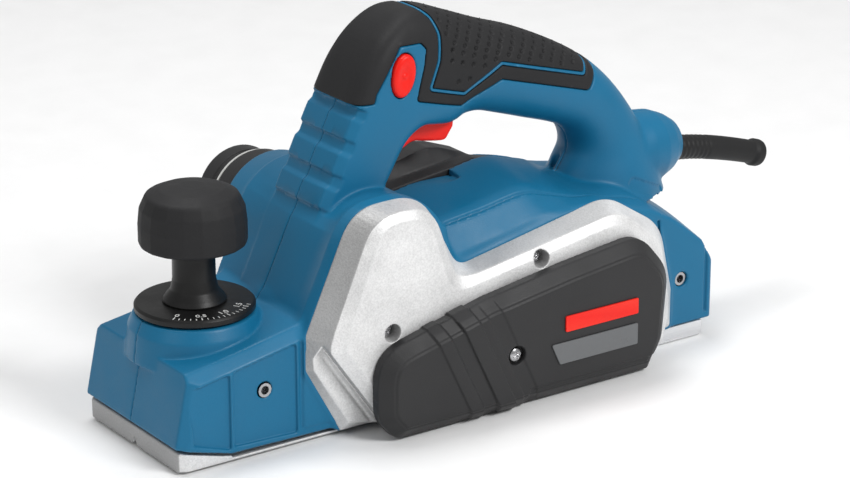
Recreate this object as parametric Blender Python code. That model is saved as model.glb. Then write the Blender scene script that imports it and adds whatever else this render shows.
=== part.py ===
"""Corded hand-held electric planer, built as separate named pieces.

The model is drawn in millimetres in a working frame: X = 0 at the front edge
of the front shoe, +X to the rear, Y = 0 on the handle's mid-plane, -Y on the
belt side, and Z = 0 on the plane of the rear sole. One empty moves the whole
model so that the world origin is at the bottom centre of its bounding box.
"""
import math

import bmesh
import bpy
from mathutils import Matrix, Vector

# ---------------------------------------------------------------- dimensions
MM = 0.001
GAP = 0.3                 # clearance between pieces that rest on each other
WALL = 3.0                # housing wall thickness

SOLE_LENGTH = 298.5
SOLE_HALF = 41.0          # half of the 82 mm planing width
HOUSING_HALF = 43.0
FRONT_X = -1.7            # nose of the housing
SLEEVE_END_X = 367.0      # middle of the cord sleeve's free end
REAR_REACH_X = 368.9      # rearmost edge of the sleeve's lip
COVER_Y = -70.0           # outer face of the belt cover
TUBE_END_Y = 92.0         # free end of the chip tube
SET_DEPTH = 1.0           # planing depth that the model is stored at

DRUM_X, DRUM_Z, CUT_R = 112.0, 28.0, 28.0
MOTOR_X, MOTOR_Z = 228.0, 44.0
KNOB_X = 33.7
CORD_Z = 83.3             # height at which the cord enters
DUCT_X, DUCT_Z = 113.0, 75.0
SHOE_REAR_X = 84.0
REAR_SOLE_X = 137.0
PLATE_BACK_Y, PLATE_FACE_Y = -43.3, -58.0
COVER_BACK_Y = -58.3
BELT_Y = (-65.5, -59.5)
DRUM_PULLEY_R, MOTOR_PULLEY_R = 15.0, 13.0
HANDLE_INSET = 5.0        # handle wall under the soft grip
SOFT_DEPTH = 2.4          # thickness of the soft grip pieces
PANEL_DEPTH = 1.0         # recess of the nose's side panels
THROAT_X = (83.8, 140.2)  # opening round the cutter drum
INSERTS = {"front": (44.2, 31.1), "rear": (283.1, 32.5)}
BUTTON_X, BUTTON_Z = 134.2, 156.3

# ------------------------------------------------------------------ colours
BLUE = ((0.035, 0.165, 0.30), 0.42, 0.0)
SOFT_BLACK = ((0.022, 0.022, 0.024), 0.75, 0.0)
DARK_GREY = ((0.045, 0.045, 0.048), 0.55, 0.0)
RED = ((0.80, 0.025, 0.012), 0.35, 0.0)
CAST_ALUMINIUM = ((0.72, 0.73, 0.74), 0.45, 1.0)
STEEL = ((0.55, 0.55, 0.56), 0.3, 1.0)
TOOL_STEEL = ((0.40, 0.41, 0.43), 0.25, 1.0)
BRASS = ((0.72, 0.53, 0.20), 0.35, 1.0)
COPPER = ((0.70, 0.33, 0.18), 0.35, 1.0)
CARBON = ((0.06, 0.06, 0.06), 0.7, 0.0)
LAMINATION = ((0.28, 0.28, 0.30), 0.5, 1.0)
NYLON = ((0.65, 0.65, 0.62), 0.5, 0.0)
RUBBER = ((0.015, 0.015, 0.016), 0.8, 0.0)

X_MID = (FRONT_X + REAR_REACH_X) / 2
Y_MID = (COVER_Y + TUBE_END_Y) / 2


# ------------------------------------------------------------ mesh utilities
def clear_scene():
    for old in list(bpy.data.objects):
        bpy.data.objects.remove(old, do_unlink=True)


def material(name, finish):
    colour, roughness, metallic = finish
    mat = bpy.data.materials.new(name)
    mat.use_nodes = True
    shader = mat.node_tree.nodes["Principled BSDF"]
    shader.inputs["Base Color"].default_value = (*colour, 1.0)
    shader.inputs["Roughness"].default_value = roughness
    shader.inputs["Metallic"].default_value = metallic
    return mat


def solid(rings):
    """Closed bmesh through rings of equal length, capped at both ends."""
    bm = bmesh.new()
    loops = [[bm.verts.new(Vector(p) * MM) for p in ring] for ring in rings]
    count = len(loops[0])
    for a, b in zip(loops, loops[1:]):
        for i in range(count):
            j = (i + 1) % count
            bm.faces.new((a[i], a[j], b[j], b[i]))
    bm.faces.new(loops[0])
    bm.faces.new(loops[-1])
    bmesh.ops.recalc_face_normals(bm, faces=bm.faces)
    return bm


def to_object(name, bm):
    mesh = bpy.data.meshes.new(name)
    bm.to_mesh(mesh)
    bm.free()
    obj = bpy.data.objects.new(name, mesh)
    bpy.context.scene.collection.objects.link(obj)
    return obj


def arc(cx, cz, r, start, end, steps):
    """Points on a circle, angles in degrees, both ends included."""
    angles = [math.radians(start + (end - start) * i / steps) for i in range(steps + 1)]
    return [(cx + r * math.cos(a), cz + r * math.sin(a)) for a in angles]


def rounded(corners, steps=4):
    """Outline through (x, z, radius) corners, each corner turned into an arc."""
    points = []
    count = len(corners)
    for i, (x, z, r) in enumerate(corners):
        here = Vector((x, z))
        before = Vector(corners[i - 1][:2]) - here
        after = Vector(corners[(i + 1) % count][:2]) - here
        half = before.angle(after) / 2
        reach = min(r / math.tan(half), before.length * 0.49, after.length * 0.49)
        start = here + before.normalized() * reach
        end = here + after.normalized() * reach
        for k in range(steps + 1):
            t = k / steps
            point = start * (1 - t) ** 2 + here * 2 * t * (1 - t) + end * t ** 2
            points.append((point.x, point.y))
    return points


def prism(name, outline, y0, y1):
    """Outline in the XZ plane, extruded along Y."""
    return to_object(name, solid([[(x, y, z) for x, z in outline] for y in (y0, y1)]))


def stack(name, levels):
    """Solid through several (outline, y) levels with equal point counts."""
    return to_object(name, solid([[(x, y, z) for x, z in outline] for outline, y in levels]))


def box(name, x, y, z, bevel=0.0):
    outline = [(x[0], z[0]), (x[1], z[0]), (x[1], z[1]), (x[0], z[1])]
    obj = prism(name, outline, y[0], y[1])
    if bevel:
        bm = bmesh.new()
        bm.from_mesh(obj.data)
        bmesh.ops.bevel(bm, geom=bm.edges, offset=bevel * MM, segments=1, affect="EDGES")
        bm.to_mesh(obj.data)
        bm.free()
    return obj


def turned(name, centre, axis, profile, steps=24):
    """Solid of revolution: profile is (distance along axis, radius) pairs."""
    if axis == "Y":
        side, up, along = Vector((1, 0, 0)), Vector((0, 0, 1)), Vector((0, 1, 0))
    elif axis == "X":
        side, up, along = Vector((0, 1, 0)), Vector((0, 0, 1)), Vector((1, 0, 0))
    else:
        side, up, along = Vector((1, 0, 0)), Vector((0, 1, 0)), Vector((0, 0, 1))
    centre = Vector(centre)
    rings = []
    for distance, radius in profile:
        ring = []
        for i in range(steps):
            angle = 2 * math.pi * i / steps
            spoke = side * math.cos(angle) + up * math.sin(angle)
            ring.append(centre + along * distance + spoke * radius)
        rings.append(ring)
    return to_object(name, solid(rings))


def combine(target, operation, *tools, solver="EXACT"):
    """Apply a Boolean with each tool in turn and delete the tools."""
    for tool in tools:
        mod = target.modifiers.new("boolean", "BOOLEAN")
        mod.operation = operation
        mod.solver = solver
        mod.object = tool
        bpy.context.view_layer.update()
        shape = target.evaluated_get(bpy.context.evaluated_depsgraph_get())
        mesh = bpy.data.meshes.new_from_object(shape)
        target.modifiers.remove(mod)
        target.data = mesh
        bpy.data.objects.remove(tool, do_unlink=True)
    return target


def cut(target, *tools, solver="EXACT"):
    return combine(target, "DIFFERENCE", *tools, solver=solver)


def join(target, *tools):
    return combine(target, "UNION", *tools)


def keep(target, *tools):
    return combine(target, "INTERSECT", *tools)


def weld(obj, distance=0.02):
    """Merge corners that a Boolean left closer than the distance, in mm."""
    bm = bmesh.new()
    bm.from_mesh(obj.data)
    bmesh.ops.remove_doubles(bm, verts=bm.verts, dist=distance * MM)
    bmesh.ops.dissolve_degenerate(bm, edges=bm.edges, dist=distance * MM)
    bm.to_mesh(obj.data)
    bm.free()


def copy_of(obj):
    twin = obj.copy()
    twin.data = obj.data.copy()
    bpy.context.scene.collection.objects.link(twin)
    return twin


def finish(obj, look, pivot=(0, 0, 0)):
    """Give the piece its origin, its material, smooth round faces and parent."""
    pivot = Vector(pivot) * MM
    obj.data.transform(Matrix.Translation(-pivot))
    obj.location = pivot
    obj.parent = bpy.data.objects["tool_frame"]
    obj.data.materials.clear()
    obj.data.materials.append(material(obj.name, look))
    obj.data.shade_smooth()
    obj.data.set_sharp_from_angle(angle=math.radians(32))
    return obj


# ----------------------------------------------------------- housing outlines
# Handle sections: outer point, inner point, half-width, squareness of section.
HANDLE = [
    ((78, 80), (112, 62), 21.0, 3.6),
    ((92.5, 111), (123, 97), 21.0, 3.6),
    ((101.5, 128), (131, 112), 21.0, 3.4),
    ((109.5, 144), (139, 123), 21.0, 3.2),
    ((118.5, 160.5), (148, 128), 21.0, 3.0),
    ((128.5, 173.5), (156, 127), 20.5, 2.8),
    ((141, 182.5), (164, 125.5), 20.0, 2.7),
    ((155, 183.6), (171, 125), 19.5, 2.6),
    ((171, 178.2), (177, 126.5), 19.0, 2.5),
    ((190, 171), (186, 126.5), 19.0, 2.4),
    ((210, 164.5), (198, 123), 19.0, 2.3),
    ((232, 154.5), (215, 117.5), 18.5, 2.3),
    ((250, 144), (229, 113), 18.5, 2.3),
    ((264, 132), (238, 109), 18.5, 2.3),
    ((276, 117.5), (243, 103), 19.0, 2.3),
    ((285.5, 102), (243.5, 95), 20.0, 2.3),
    ((293.5, 86), (238, 86), 22.5, 2.3),
    ((299, 69), (232, 72), 26.0, 2.3),
]

# Body sections: x, half-width, side-wall top, crown height at the mid-plane.
BODY = [
    (66, 43.0, 47.0, 58.0),
    (92, 43.0, 55.0, 76.0),
    (118, 43.0, 64.0, 88.0),
    (145, 43.0, 71.5, 94.5),
    (170, 43.0, 76.0, 98.0),
    (192, 43.0, 80.0, 101.4),
    (206, 43.0, 82.5, 98.5),
    (222, 43.0, 82.5, 94.0),
    (240, 43.0, 80.0, 90.0),
    (258, 43.0, 74.0, 86.0),
    (276, 42.8, 66.0, 76.0),
    (296, 42.0, 54.5, 60.0),
    (303, 41.4, 45.5, 49.0),
]


def handle_section(section, inset, steps=16):
    """Superellipse around the segment from the outer to the inner point."""
    outer, inner, half, power = section
    outer, inner = Vector(outer), Vector(inner)
    middle = (outer + inner) / 2
    reach = (outer - inner).length / 2 - inset
    direction = (outer - inner).normalized()
    ring = []
    for i in range(steps):
        angle = 2 * math.pi * (i + 0.5) / steps
        c, s = math.cos(angle), math.sin(angle)
        across = math.copysign(abs(s) ** (2 / power), s) * (half - inset)
        along = math.copysign(abs(c) ** (2 / power), c) * reach
        spot = middle + direction * along
        ring.append((spot.x, across, spot.y))
    return ring


def handle_solid(name, inset, first=0, last=None):
    sections = HANDLE[first:last]
    return to_object(name, solid([handle_section(s, inset) for s in sections]))


def body_section(x, half, side, crown, inset, floor, steps=5):
    """Flat sides, rounded shoulders and a gently crowned top."""
    half -= inset
    side -= inset
    crown -= inset
    left = []
    for i in range(steps + 1):
        angle = math.pi / 2 * i / steps
        y = half * math.cos(angle) ** (2 / 2.5)
        z = side + (crown - side) * math.sin(angle) ** (2 / 2.5)
        left.append((x, -y, z))
    right = [(x, -y, z) for x, y, z in reversed(left[:-1])]
    return [(x, -half, floor)] + left + right + [(x, half, floor)]


def body_solid(name, inset, floor, first=0, last=None):
    sections = [list(s) for s in BODY[first:last]]
    if inset:
        sections[0][0] += inset
        sections[-1][0] -= inset
    return to_object(name, solid([body_section(*s, inset, floor) for s in sections]))


def nose_section(x, top, bottom, half, inset):
    half -= inset
    top -= inset
    chamfer = min(6.0, (top - bottom) * 0.6)
    return [
        (x, -half, bottom), (x, -half, top - chamfer), (x, -half + chamfer, top),
        (x, half - chamfer, top), (x, half, top - chamfer), (x, half, bottom),
    ]


def nose_solid(name, inset, floor_shift=0.0):
    """Box over the front shoe, with a leaning face and a rising deck."""
    lean = [
        (FRONT_X + inset, 17.0 + inset, 12.8, 41.0),
        (5.5 + inset, 45.8, 10.8, HOUSING_HALF),
        (26.0, 49.5, 5.2, HOUSING_HALF),
        (70.0, 57.6, 4.4, HOUSING_HALF),
    ]
    rings = []
    for x, top, bottom, half in lean:
        bottom = floor_shift if floor_shift else bottom
        rings.append(nose_section(x, top, bottom, half, inset))
    return to_object(name, solid(rings))


# ------------------------------------------------------------------- housing
def housing_body():
    """Hollow one-piece casing, before it is split into its two halves."""
    shell = body_solid("shell", 0, 9.0)
    join(shell, nose_solid("nose", 0))
    join(shell, handle_solid("handle", 0))
    duct = turned("duct", (DUCT_X, 0, DUCT_Z), "Y", [(-43, 31.5), (43, 31.5), (60, 27.5)], 32)
    join(shell, duct)
    collar = turned("collar", (KNOB_X, 0, 0), "Z", [(42, 32), (54, 30), (59.3, 27.6)], 32)
    join(shell, collar)
    gland = turned("gland", (0, 0, CORD_Z + 0.7), "X",
                   [(268, 19), (289, 19.6), (298, 17.6), (305, 14.0), (309.5, 10.6), (311.5, 8.6)], 20)
    join(shell, gland)
    hollow = body_solid("hollow", WALL, -5.0)
    join(hollow, nose_solid("nose_hollow", WALL, -5.0))
    cut(shell, hollow)
    cut(shell, handle_solid("handle_hollow", HANDLE_INSET, 1))
    return shell


def grip_regions(grow):
    """Side outlines of the soft front cap and of the soft grip panel."""
    cap = rounded([
        (100 - grow, 146 - grow * 0.5, 2), (118.5, 146 - grow, 3), (128, 161, 3), (132.5, 169.5, 3),
        (144 + grow, 171.5, 3), (147 + grow, 190, 2), (100 - grow, 190, 2),
    ], 2)
    grip = rounded([
        (149.5 - grow, 190, 2), (152.5 - grow, 176, 4), (150.5 - grow, 160, 4), (143 - grow, 143 - grow, 3),
        (169.6, 134.5 - grow, 4), (191.4, 143.7 - grow, 6), (243, 129 - grow, 3), (262 + grow, 150, 2),
        (240, 190, 2),
    ], 2)
    return (cap, grip)


def soft_pieces_and_pockets(shell):
    """Cut the two grip pockets and make the soft pieces that fill them."""
    names = ("front_cap_grip", "grip_overmold")
    for name, wide, tight in zip(names, grip_regions(GAP), grip_regions(0)):
        pocket = prism(name + "_pocket", wide, -30, 30)
        cut(pocket, handle_solid("core", SOFT_DEPTH))
        cut(shell, pocket)
        piece = handle_solid(name, 0)
        keep(piece, prism(name + "_region", tight, -30, 30))
        cut(piece, handle_solid("core", SOFT_DEPTH - GAP))
        finish(piece, SOFT_BLACK)


def side_panels(shell):
    """Shallow recessed panel on each side of the nose, its walls drafted."""
    for sign in (-1, 1):
        deep = [(6, 14), (6, 39), (60, 49.3), (60, 8), (26, 8)]
        wide = [(5.6, 13.7), (5.6, 39.4), (60.4, 49.8), (60.4, 7.6), (25.8, 7.6)]
        levels = [(deep, sign * (HOUSING_HALF - PANEL_DEPTH)), (wide, sign * (HOUSING_HALF + PANEL_DEPTH / 2))]
        cut(shell, stack("side_panel", levels))


def shared_openings(shell):
    """Mouths that both halves share, cut before the shell is split."""
    cut(shell, turned("duct_bore", (DUCT_X, 0, DUCT_Z), "Y", [(-38, 24), (62, 24)], 28))
    cut(shell, box("throat", THROAT_X, (-41.6, 41.6), (-1, 57)))
    cut(shell, turned("knob_hole", (KNOB_X, 0, 0), "Z", [(30, 5), (70, 5)], 16))
    cut(shell, turned("sleeve_hole", (0, 0, CORD_Z), "X", [(262, 6.8), (320, 6.8)], 20))
    cut(shell, box("trigger_slot", (137, 173.5), (-8.8, 8.8), (100, 150)))
    for y0, y1 in ((-46, -38), (38, 46)):
        for x, z in INSERTS.values():
            cut(shell, turned("insert_hole", (x, 0, z), "Y", [(y0, 3.8), (y1, 3.8)], 12))


def housing():
    shell = housing_body()
    soft_pieces_and_pockets(shell)
    side_panels(shell)
    shared_openings(shell)
    weld(shell)
    right = copy_of(shell)
    right.name = "right_housing"
    shell.name = "left_housing"
    cut(shell, box("right_side", (-20, 400), (-GAP / 2, 100), (-20, 220)), solver="MANIFOLD")
    cut(right, box("left_side", (-20, 400), (-100, GAP / 2), (-20, 220)), solver="MANIFOLD")
    weld(shell)
    weld(right)
    cut(shell, stack("button_hole", [(oval(0.4), -30), (oval(0.4), -8)]))
    cut(shell, turned("drum_hole", (DRUM_X, 0, DRUM_Z), "Y", [(-60, 19.6), (-38, 19.6)], 24))
    cut(shell, turned("motor_hole", (MOTOR_X, 0, MOTOR_Z), "Y", [(-60, 14), (-38, 14)], 20))
    cut(right, box("duct_window", (136, 206), (-5, 60), (62, 125)))
    cut(right, turned("right_boss_hole", (DRUM_X, 0, DRUM_Z), "Y", [(38, 19.6), (60, 19.6)], 24))
    for i in range(5):
        x = 208 + 9 * i
        cut(right, box("side_vent", (x, x + 3), (38, 50), (26, 60)))
    finish(shell, BLUE)
    finish(right, BLUE)


def oval(grow):
    """Outline of the lock button: an upright oval leaning with the leg."""
    points = []
    lean = math.radians(12)
    for i in range(20):
        a = 2 * math.pi * i / 20
        u, v = (6.2 + grow) * math.cos(a), (10.2 + grow) * math.sin(a)
        points.append((BUTTON_X + u * math.cos(lean) + v * math.sin(lean),
                       BUTTON_Z - u * math.sin(lean) + v * math.cos(lean)))
    return points


def duct_cover():
    """Grey cover on the right of the crown, over the motor's air duct."""
    def level(x, rise):
        return [(x, 0.6, 75), (x, 0.6, 92 + rise * 0.5), (x, 10, 93 + rise * 0.6), (x, 20, 94 + rise),
                (x, 32, 90 + rise), (x, 40, 82 + rise * 0.6), (x, 43, 70), (x, 43, 63)]
    stations = ((136.5, 0), (142, 5), (152, 10), (164, 13), (178, 12), (192, 8), (205.5, 0))
    outer = to_object("duct_cover", solid([level(x, rise) for x, rise in stations]))
    inner_levels = []
    for x, rise in ((139.5, 0), (152, 8), (164, 11), (178, 10), (192, 6), (203, 0)):
        inner_levels.append([(x, max(0.6 + 2, min(y, 40.5)), z - 2.5 if z > 70 else 55)
                             for _, y, z in level(x, rise)])
    cut(outer, to_object("duct_cover_hollow", solid(inner_levels)))
    return finish(outer, DARK_GREY)


def cord_sleeve():
    """Rubber bend sleeve, drooping a little, with a lip and a through bore."""
    def centre(t):
        droop = 13.3 * max((t - 0.28) / 0.72, 0) ** 1.4
        return Vector((288 + (SLEEVE_END_X - 288) * t, 0, CORD_Z - droop))
    def ring(t, radius):
        spot = centre(t)
        ahead = (centre(t + 0.01) - centre(t - 0.01 if t > 0.01 else t)).normalized()
        up = Vector((-ahead.z, 0, ahead.x))
        points = []
        for i in range(16):
            a = 2 * math.pi * i / 16
            points.append(spot + Vector((0, 1, 0)) * radius * math.cos(a) + up * radius * math.sin(a))
        return points
    radii = [(0, 6.4), (0.12, 6.4), (0.3, 6.3), (0.48, 6.2), (0.66, 6.1), (0.84, 6.0), (0.93, 6.0),
             (0.945, 7.0), (1.0, 7.0)]
    sleeve = to_object("cord_sleeve", solid([ring(t, r) for t, r in radii]))
    bore = to_object("sleeve_bore", solid([ring(t, 2.8) for t in (-0.03, 0.25, 0.5, 0.75, 1.04)]))
    cut(sleeve, bore)
    finish(sleeve, RUBBER)
    clamp = box("cord_clamp", (268, 278), (-11, 11), (78, 88.6), 0.8)
    cut(clamp, turned("clamp_bore", (0, 0, CORD_Z), "X", [(260, 3.8), (290, 3.8)], 14))
    finish(clamp, NYLON)


def chip_outlet():
    """Stepped chip tube on the right, in three pieces, open right through."""
    spans = [
        ("chip_outlet_collar", (60.3, 75.0), 25.2, 21.0, DARK_GREY),
        ("chip_outlet_ring", (75.3, 76.7), 24.2, 20.5, NYLON),
        ("chip_outlet_tube", (77.0, TUBE_END_Y), 22.4, 20.2, DARK_GREY),
    ]
    for name, (y0, y1), outer, inner, look in spans:
        tube = turned(name, (DUCT_X, 0, DUCT_Z), "Y", [(y0, outer), (y1, outer)], 32)
        cut(tube, turned("bore", (DUCT_X, 0, DUCT_Z), "Y", [(y0 - 1, inner), (y1 + 1, inner)], 32))
        finish(tube, look)


# --------------------------------------------------------- soles and casting
def front_shoe():
    lift = SET_DEPTH
    side = [(0, lift), (SHOE_REAR_X, lift), (SHOE_REAR_X, lift + 1.2), (27, lift + 1.2), (27, lift + 3.0),
            (22, lift + 4.2), (0.6, lift + 9.8), (0, lift + 9.0)]
    shoe = prism("front_shoe", side, -SOLE_HALF, SOLE_HALF)
    for sign in (-1, 1):
        corner = [(-1, sign * 38.4, 0), (-1, sign * 42, 0), (5.6, sign * 42, 0)]
        top = [(x, y, 14) for x, y, _ in corner]
        cut(shoe, to_object("corner", solid([corner, top])))
    join(shoe, box("deck", (5, 80), (-36, 36), (lift + 0.8, 8.5)))
    join(shoe, turned("boss", (KNOB_X, 0, 0), "Z", [(7, 9), (22, 8)], 20))
    cut(shoe, turned("thread", (KNOB_X, 0, 0), "Z", [(6.0, 4.4), (24, 4.4)], 16))
    groove = [(-2, -3.6, 0.4), (-2, 3.6, 0.4), (-2, 0, lift + 3.5)]
    far = [(90, y, z) for _, y, z in groove]
    cut(shoe, to_object("v_groove", solid([groove, far])))
    return finish(shoe, CAST_ALUMINIUM, (KNOB_X, 0, lift))


def rear_sole():
    side = [(REAR_SOLE_X, 0), (SOLE_LENGTH - 1.5, 0), (SOLE_LENGTH, 1.5), (SOLE_LENGTH, 7.0),
            (SOLE_LENGTH - 1, 8.0), (REAR_SOLE_X, 8.0)]
    sole = prism("rear_sole", side, -SOLE_HALF, SOLE_HALF)
    wall = arc(DRUM_X, DRUM_Z, 34.0, -42, 62, 8) + arc(DRUM_X, DRUM_Z, 30.8, 62, -42, 8)
    join(sole, prism("chamber_wall", wall, -37.5, 37.5))
    for y0, y1 in ((-32, -28), (28, 32)):
        join(sole, box("stiffener", (150, 190), (y0, y1), (7, 14)))
    return finish(sole, CAST_ALUMINIUM)


def plate_outlines():
    back = [(82, 2, 1), (63.5, 36, 4), (64, 52, 4), (90, 108, 20), (127, 108.5, 24), (148, 70, 8),
            (234, 88, 26), (268, 66, 26), (276, 30, 6), (276, 9.5, 3)]
    face = [(105, 2, 1), (74, 46, 4), (75.5, 56, 4), (95, 106, 18), (125, 106.5, 22), (138, 66, 8),
            (234, 81, 22), (257, 60, 22), (262, 30, 6), (262, 9.5, 3)]
    return rounded(back), rounded(face)


def side_plate():
    """Cast plate that carries the drum and motor bearings on the belt side."""
    back, face = plate_outlines()
    plate = stack("side_plate", [(back, PLATE_BACK_Y), (face, PLATE_FACE_Y)])
    for x, z, hole in ((DRUM_X, DRUM_Z, 14.3), (MOTOR_X, MOTOR_Z, 14.3)):
        cut(plate, turned("seat", (x, 0, z), "Y", [(-64, hole), (-40, hole)], 28))
    cut(plate, turned("screw_well", (102.3, 0, 50.3), "Y", [(-64, 4.2), (-50, 4.2)], 12))
    cut(plate, turned("screw_well", (185.9, 0, 68.1), "Y", [(-64, 4.2), (-50, 4.2)], 12))
    pocket = rounded([(150, 14, 6), (150, 52, 6), (196, 60, 6), (196, 14, 6)], 2)
    cut(plate, prism("back_pocket", pocket, -40, -53))
    finish(plate, CAST_ALUMINIUM)
    finish(screw("plate_screw_front", (102.3, 50.3), -51.0), STEEL)
    finish(screw("plate_screw_rear", (185.9, 68.1), -51.0), STEEL)


def screw(name, spot, face_y):
    """Pan-head screw, head towards -Y, with a cross recess."""
    x, z = spot
    head = turned(name, (x, 0, z), "Y", [(face_y - 2.2, 2.2), (face_y - 1.4, 3.5), (face_y + 0.6, 3.5)], 12)
    for dx, dz in ((2.2, 0.5), (0.5, 2.2)):
        slot = box("slot", (x - dx, x + dx), (face_y - 3, face_y - 1.0), (z - dz, z + dz))
        cut(head, slot)
    return head


def right_bearing_cap():
    """Aluminium boss on the right wall that holds the drum's free end."""
    cap = turned("right_bearing_cap", (DRUM_X, 0, DRUM_Z), "Y", [(41.6, 18.4), (48, 18.4), (50, 16)], 28)
    cut(cap, turned("seat", (DRUM_X, 0, DRUM_Z), "Y", [(40, 11.3), (48.2, 11.3)], 24))
    return finish(cap, CAST_ALUMINIUM)


# ---------------------------------------------------------- depth adjustment
def depth_adjuster():
    axis = (KNOB_X, 0, 0)
    rod = turned("depth_screw", axis, "Z", [(9.5, 3.6), (10.3, 4.1), (59.9, 4.1), (59.9, 4.4), (62.2, 4.4)], 16)
    finish(rod, STEEL, axis)
    dial = turned("depth_dial", axis, "Z", [(60.0, 27.0), (62.6, 27.6), (63.7, 26.6)], 48)
    cut(dial, turned("dial_bore", axis, "Z", [(59, 4.8), (65, 4.8)], 16))
    finish(dial, SOFT_BLACK, axis)
    stem = turned("knob_stem", axis, "Z",
                  [(64.0, 14.5), (66.0, 13.4), (69.5, 10.6), (73, 9.9), (86.0, 9.8), (98.0, 9.8)], 24)
    finish(stem, SOFT_BLACK, axis)
    flats = 18
    rings = []
    for z, radius, ripple in ((91.2, 22.4, 0), (92.2, 23.6, 0.5), (106.5, 23.2, 0.5), (111.5, 21.8, 0.3),
                              (115.5, 18.0, 0), (117.6, 11.0, 0), (118.2, 3.0, 0)):
        ring = []
        for i in range(flats * 2):
            a = math.pi * i / flats
            r = radius + ripple * (1 if i % 2 else -1)
            ring.append((KNOB_X + r * math.cos(a), r * math.sin(a), z))
        rings.append(ring)
    knob = to_object("depth_knob", solid(rings))
    cut(knob, turned("under_cone", axis, "Z", [(90, 20.5), (93.5, 17.0), (95.5, 10.2), (98.4, 10.2)], 24))
    finish(knob, SOFT_BLACK, axis)
    ring = turned("detent_spring", axis, "Z", [(59.5, 8.0), (59.75, 8.0)], 20)
    cut(ring, turned("hole", axis, "Z", [(59, 5.2), (60.5, 5.2)], 16))
    finish(ring, STEEL)
    nut = turned("depth_nut", axis, "Z", [(22.3, 7.0), (27.5, 7.0)], 6)
    cut(nut, turned("hole", axis, "Z", [(21, 4.4), (29, 4.4)], 16))
    finish(nut, BRASS)


# ------------------------------------------------------- drum, motor and belt
def cutter_drum():
    axis = (DRUM_X, 0, DRUM_Z)
    drum = turned("cutter_drum", axis, "Y", [(-40.6, 25.0), (40.6, 25.0)], 36)
    cut(drum, turned("bore", axis, "Y", [(-42, 7.8), (42, 7.8)], 20))
    for sign in (1, -1):
        slot = [(DRUM_X - sign * 2.4, DRUM_Z + sign * 10), (DRUM_X + sign * 13.0, DRUM_Z + sign * 10),
                (DRUM_X + sign * 15.0, DRUM_Z + sign * 30), (DRUM_X - sign * 3.6, DRUM_Z + sign * 30)]
        cut(drum, prism("slot", slot, -42, 42))
    finish(drum, CAST_ALUMINIUM, axis)
    for index, sign in enumerate((1, -1)):
        def spot(dx, dz):
            return (DRUM_X + sign * dx, DRUM_Z + sign * dz)
        blade = prism("planer_blade_%d" % (index + 1),
                      [spot(-1.6, 12.5), spot(-0.3, 12.5), spot(-0.6, 27.6), spot(-2.6, 25.6)], -40.6, 40.6)
        finish(blade, TOOL_STEEL, axis)
        bar = prism("blade_clamp_%d" % (index + 1),
                    [spot(2.6, 10.5), spot(12.2, 10.5), spot(11.6, 20.5), spot(5.0, 23.4), spot(0.3, 23.4),
                     spot(0.2, 13)], -40.2, 40.2)
        for side, y in (("left", -22), ("right", 22)):
            centre = (DRUM_X + sign * 7.5, y, DRUM_Z)
            well = sorted((sign * 9, sign * 26))
            cut(bar, turned("bolt_well", centre, "Z", [(well[0], 3.6), (well[1], 3.6)], 12))
            low, high = sorted((sign * 10.8, sign * 19.0))
            bolt = turned("clamp_bolt_%d_%s" % (index + 1, side), centre, "Z", [(low, 3.2), (high, 3.2)], 12)
            slot = sorted((sign * 17.2, sign * 20))
            cut(bolt, turned("hex_recess", centre, "Z", [(slot[0], 1.7), (slot[1], 1.7)], 6))
            finish(bolt, STEEL, axis)
        finish(bar, STEEL, axis)
    shaft = turned("drum_shaft", axis, "Y",
                   [(-67, 3.4), (-58.5, 3.4), (-58.5, 5.0), (-42, 5.0), (-42, 7.7), (41.2, 7.7), (41.2, 4.0),
                    (47.6, 4.0)], 20)
    finish(shaft, STEEL, axis)
    bearing("drum_bearing_left", axis, (-56.5, -47.5), 14.0, 5.3)
    bearing("drum_bearing_right", axis, (42.4, 47.8), 11.0, 4.3)


def bearing(name, axis, span, outer, inner):
    """Closed ball bearing: one ring with a seal groove on each face."""
    race = turned(name, axis, "Y", [(span[0], outer), (span[1], outer)], 24)
    cut(race, turned("hole", axis, "Y", [(span[0] - 1, inner), (span[1] + 1, inner)], 20))
    return finish(race, STEEL, axis)


def pulley(name, axis, radius, bore):
    """Grooved pulley between two low flanges."""
    low, high = BELT_Y
    profile = [(low - 0.9, radius + 1.0), (low - 0.2, radius + 1.0), (low - 0.2, radius - 0.6),
               (high + 0.2, radius - 0.6), (high + 0.2, radius + 1.0), (high + 0.7, radius + 1.0)]
    wheel = turned(name, axis, "Y", profile, 30)
    cut(wheel, turned("hole", axis, "Y", [(low - 2, bore), (high + 2, bore)], 16))
    return finish(wheel, STEEL, axis)


def drive_belt():
    """Ribbed belt: a closed band round both pulleys."""
    reach = math.hypot(MOTOR_X - DRUM_X, MOTOR_Z - DRUM_Z)
    tilt = math.degrees(math.atan2(MOTOR_Z - DRUM_Z, MOTOR_X - DRUM_X))
    spread = math.degrees(math.acos((DRUM_PULLEY_R - MOTOR_PULLEY_R) / reach))
    def band(grow):
        front = arc(DRUM_X, DRUM_Z, DRUM_PULLEY_R + grow, tilt + spread, tilt + 360 - spread, 14)
        rear = arc(MOTOR_X, MOTOR_Z, MOTOR_PULLEY_R + grow, tilt - spread, tilt + spread, 12)
        return front + rear
    belt = prism("drive_belt", band(1.9), *BELT_Y)
    cut(belt, prism("inside", band(0.05), BELT_Y[0] - 1, BELT_Y[1] + 1))
    return finish(belt, RUBBER)


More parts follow.
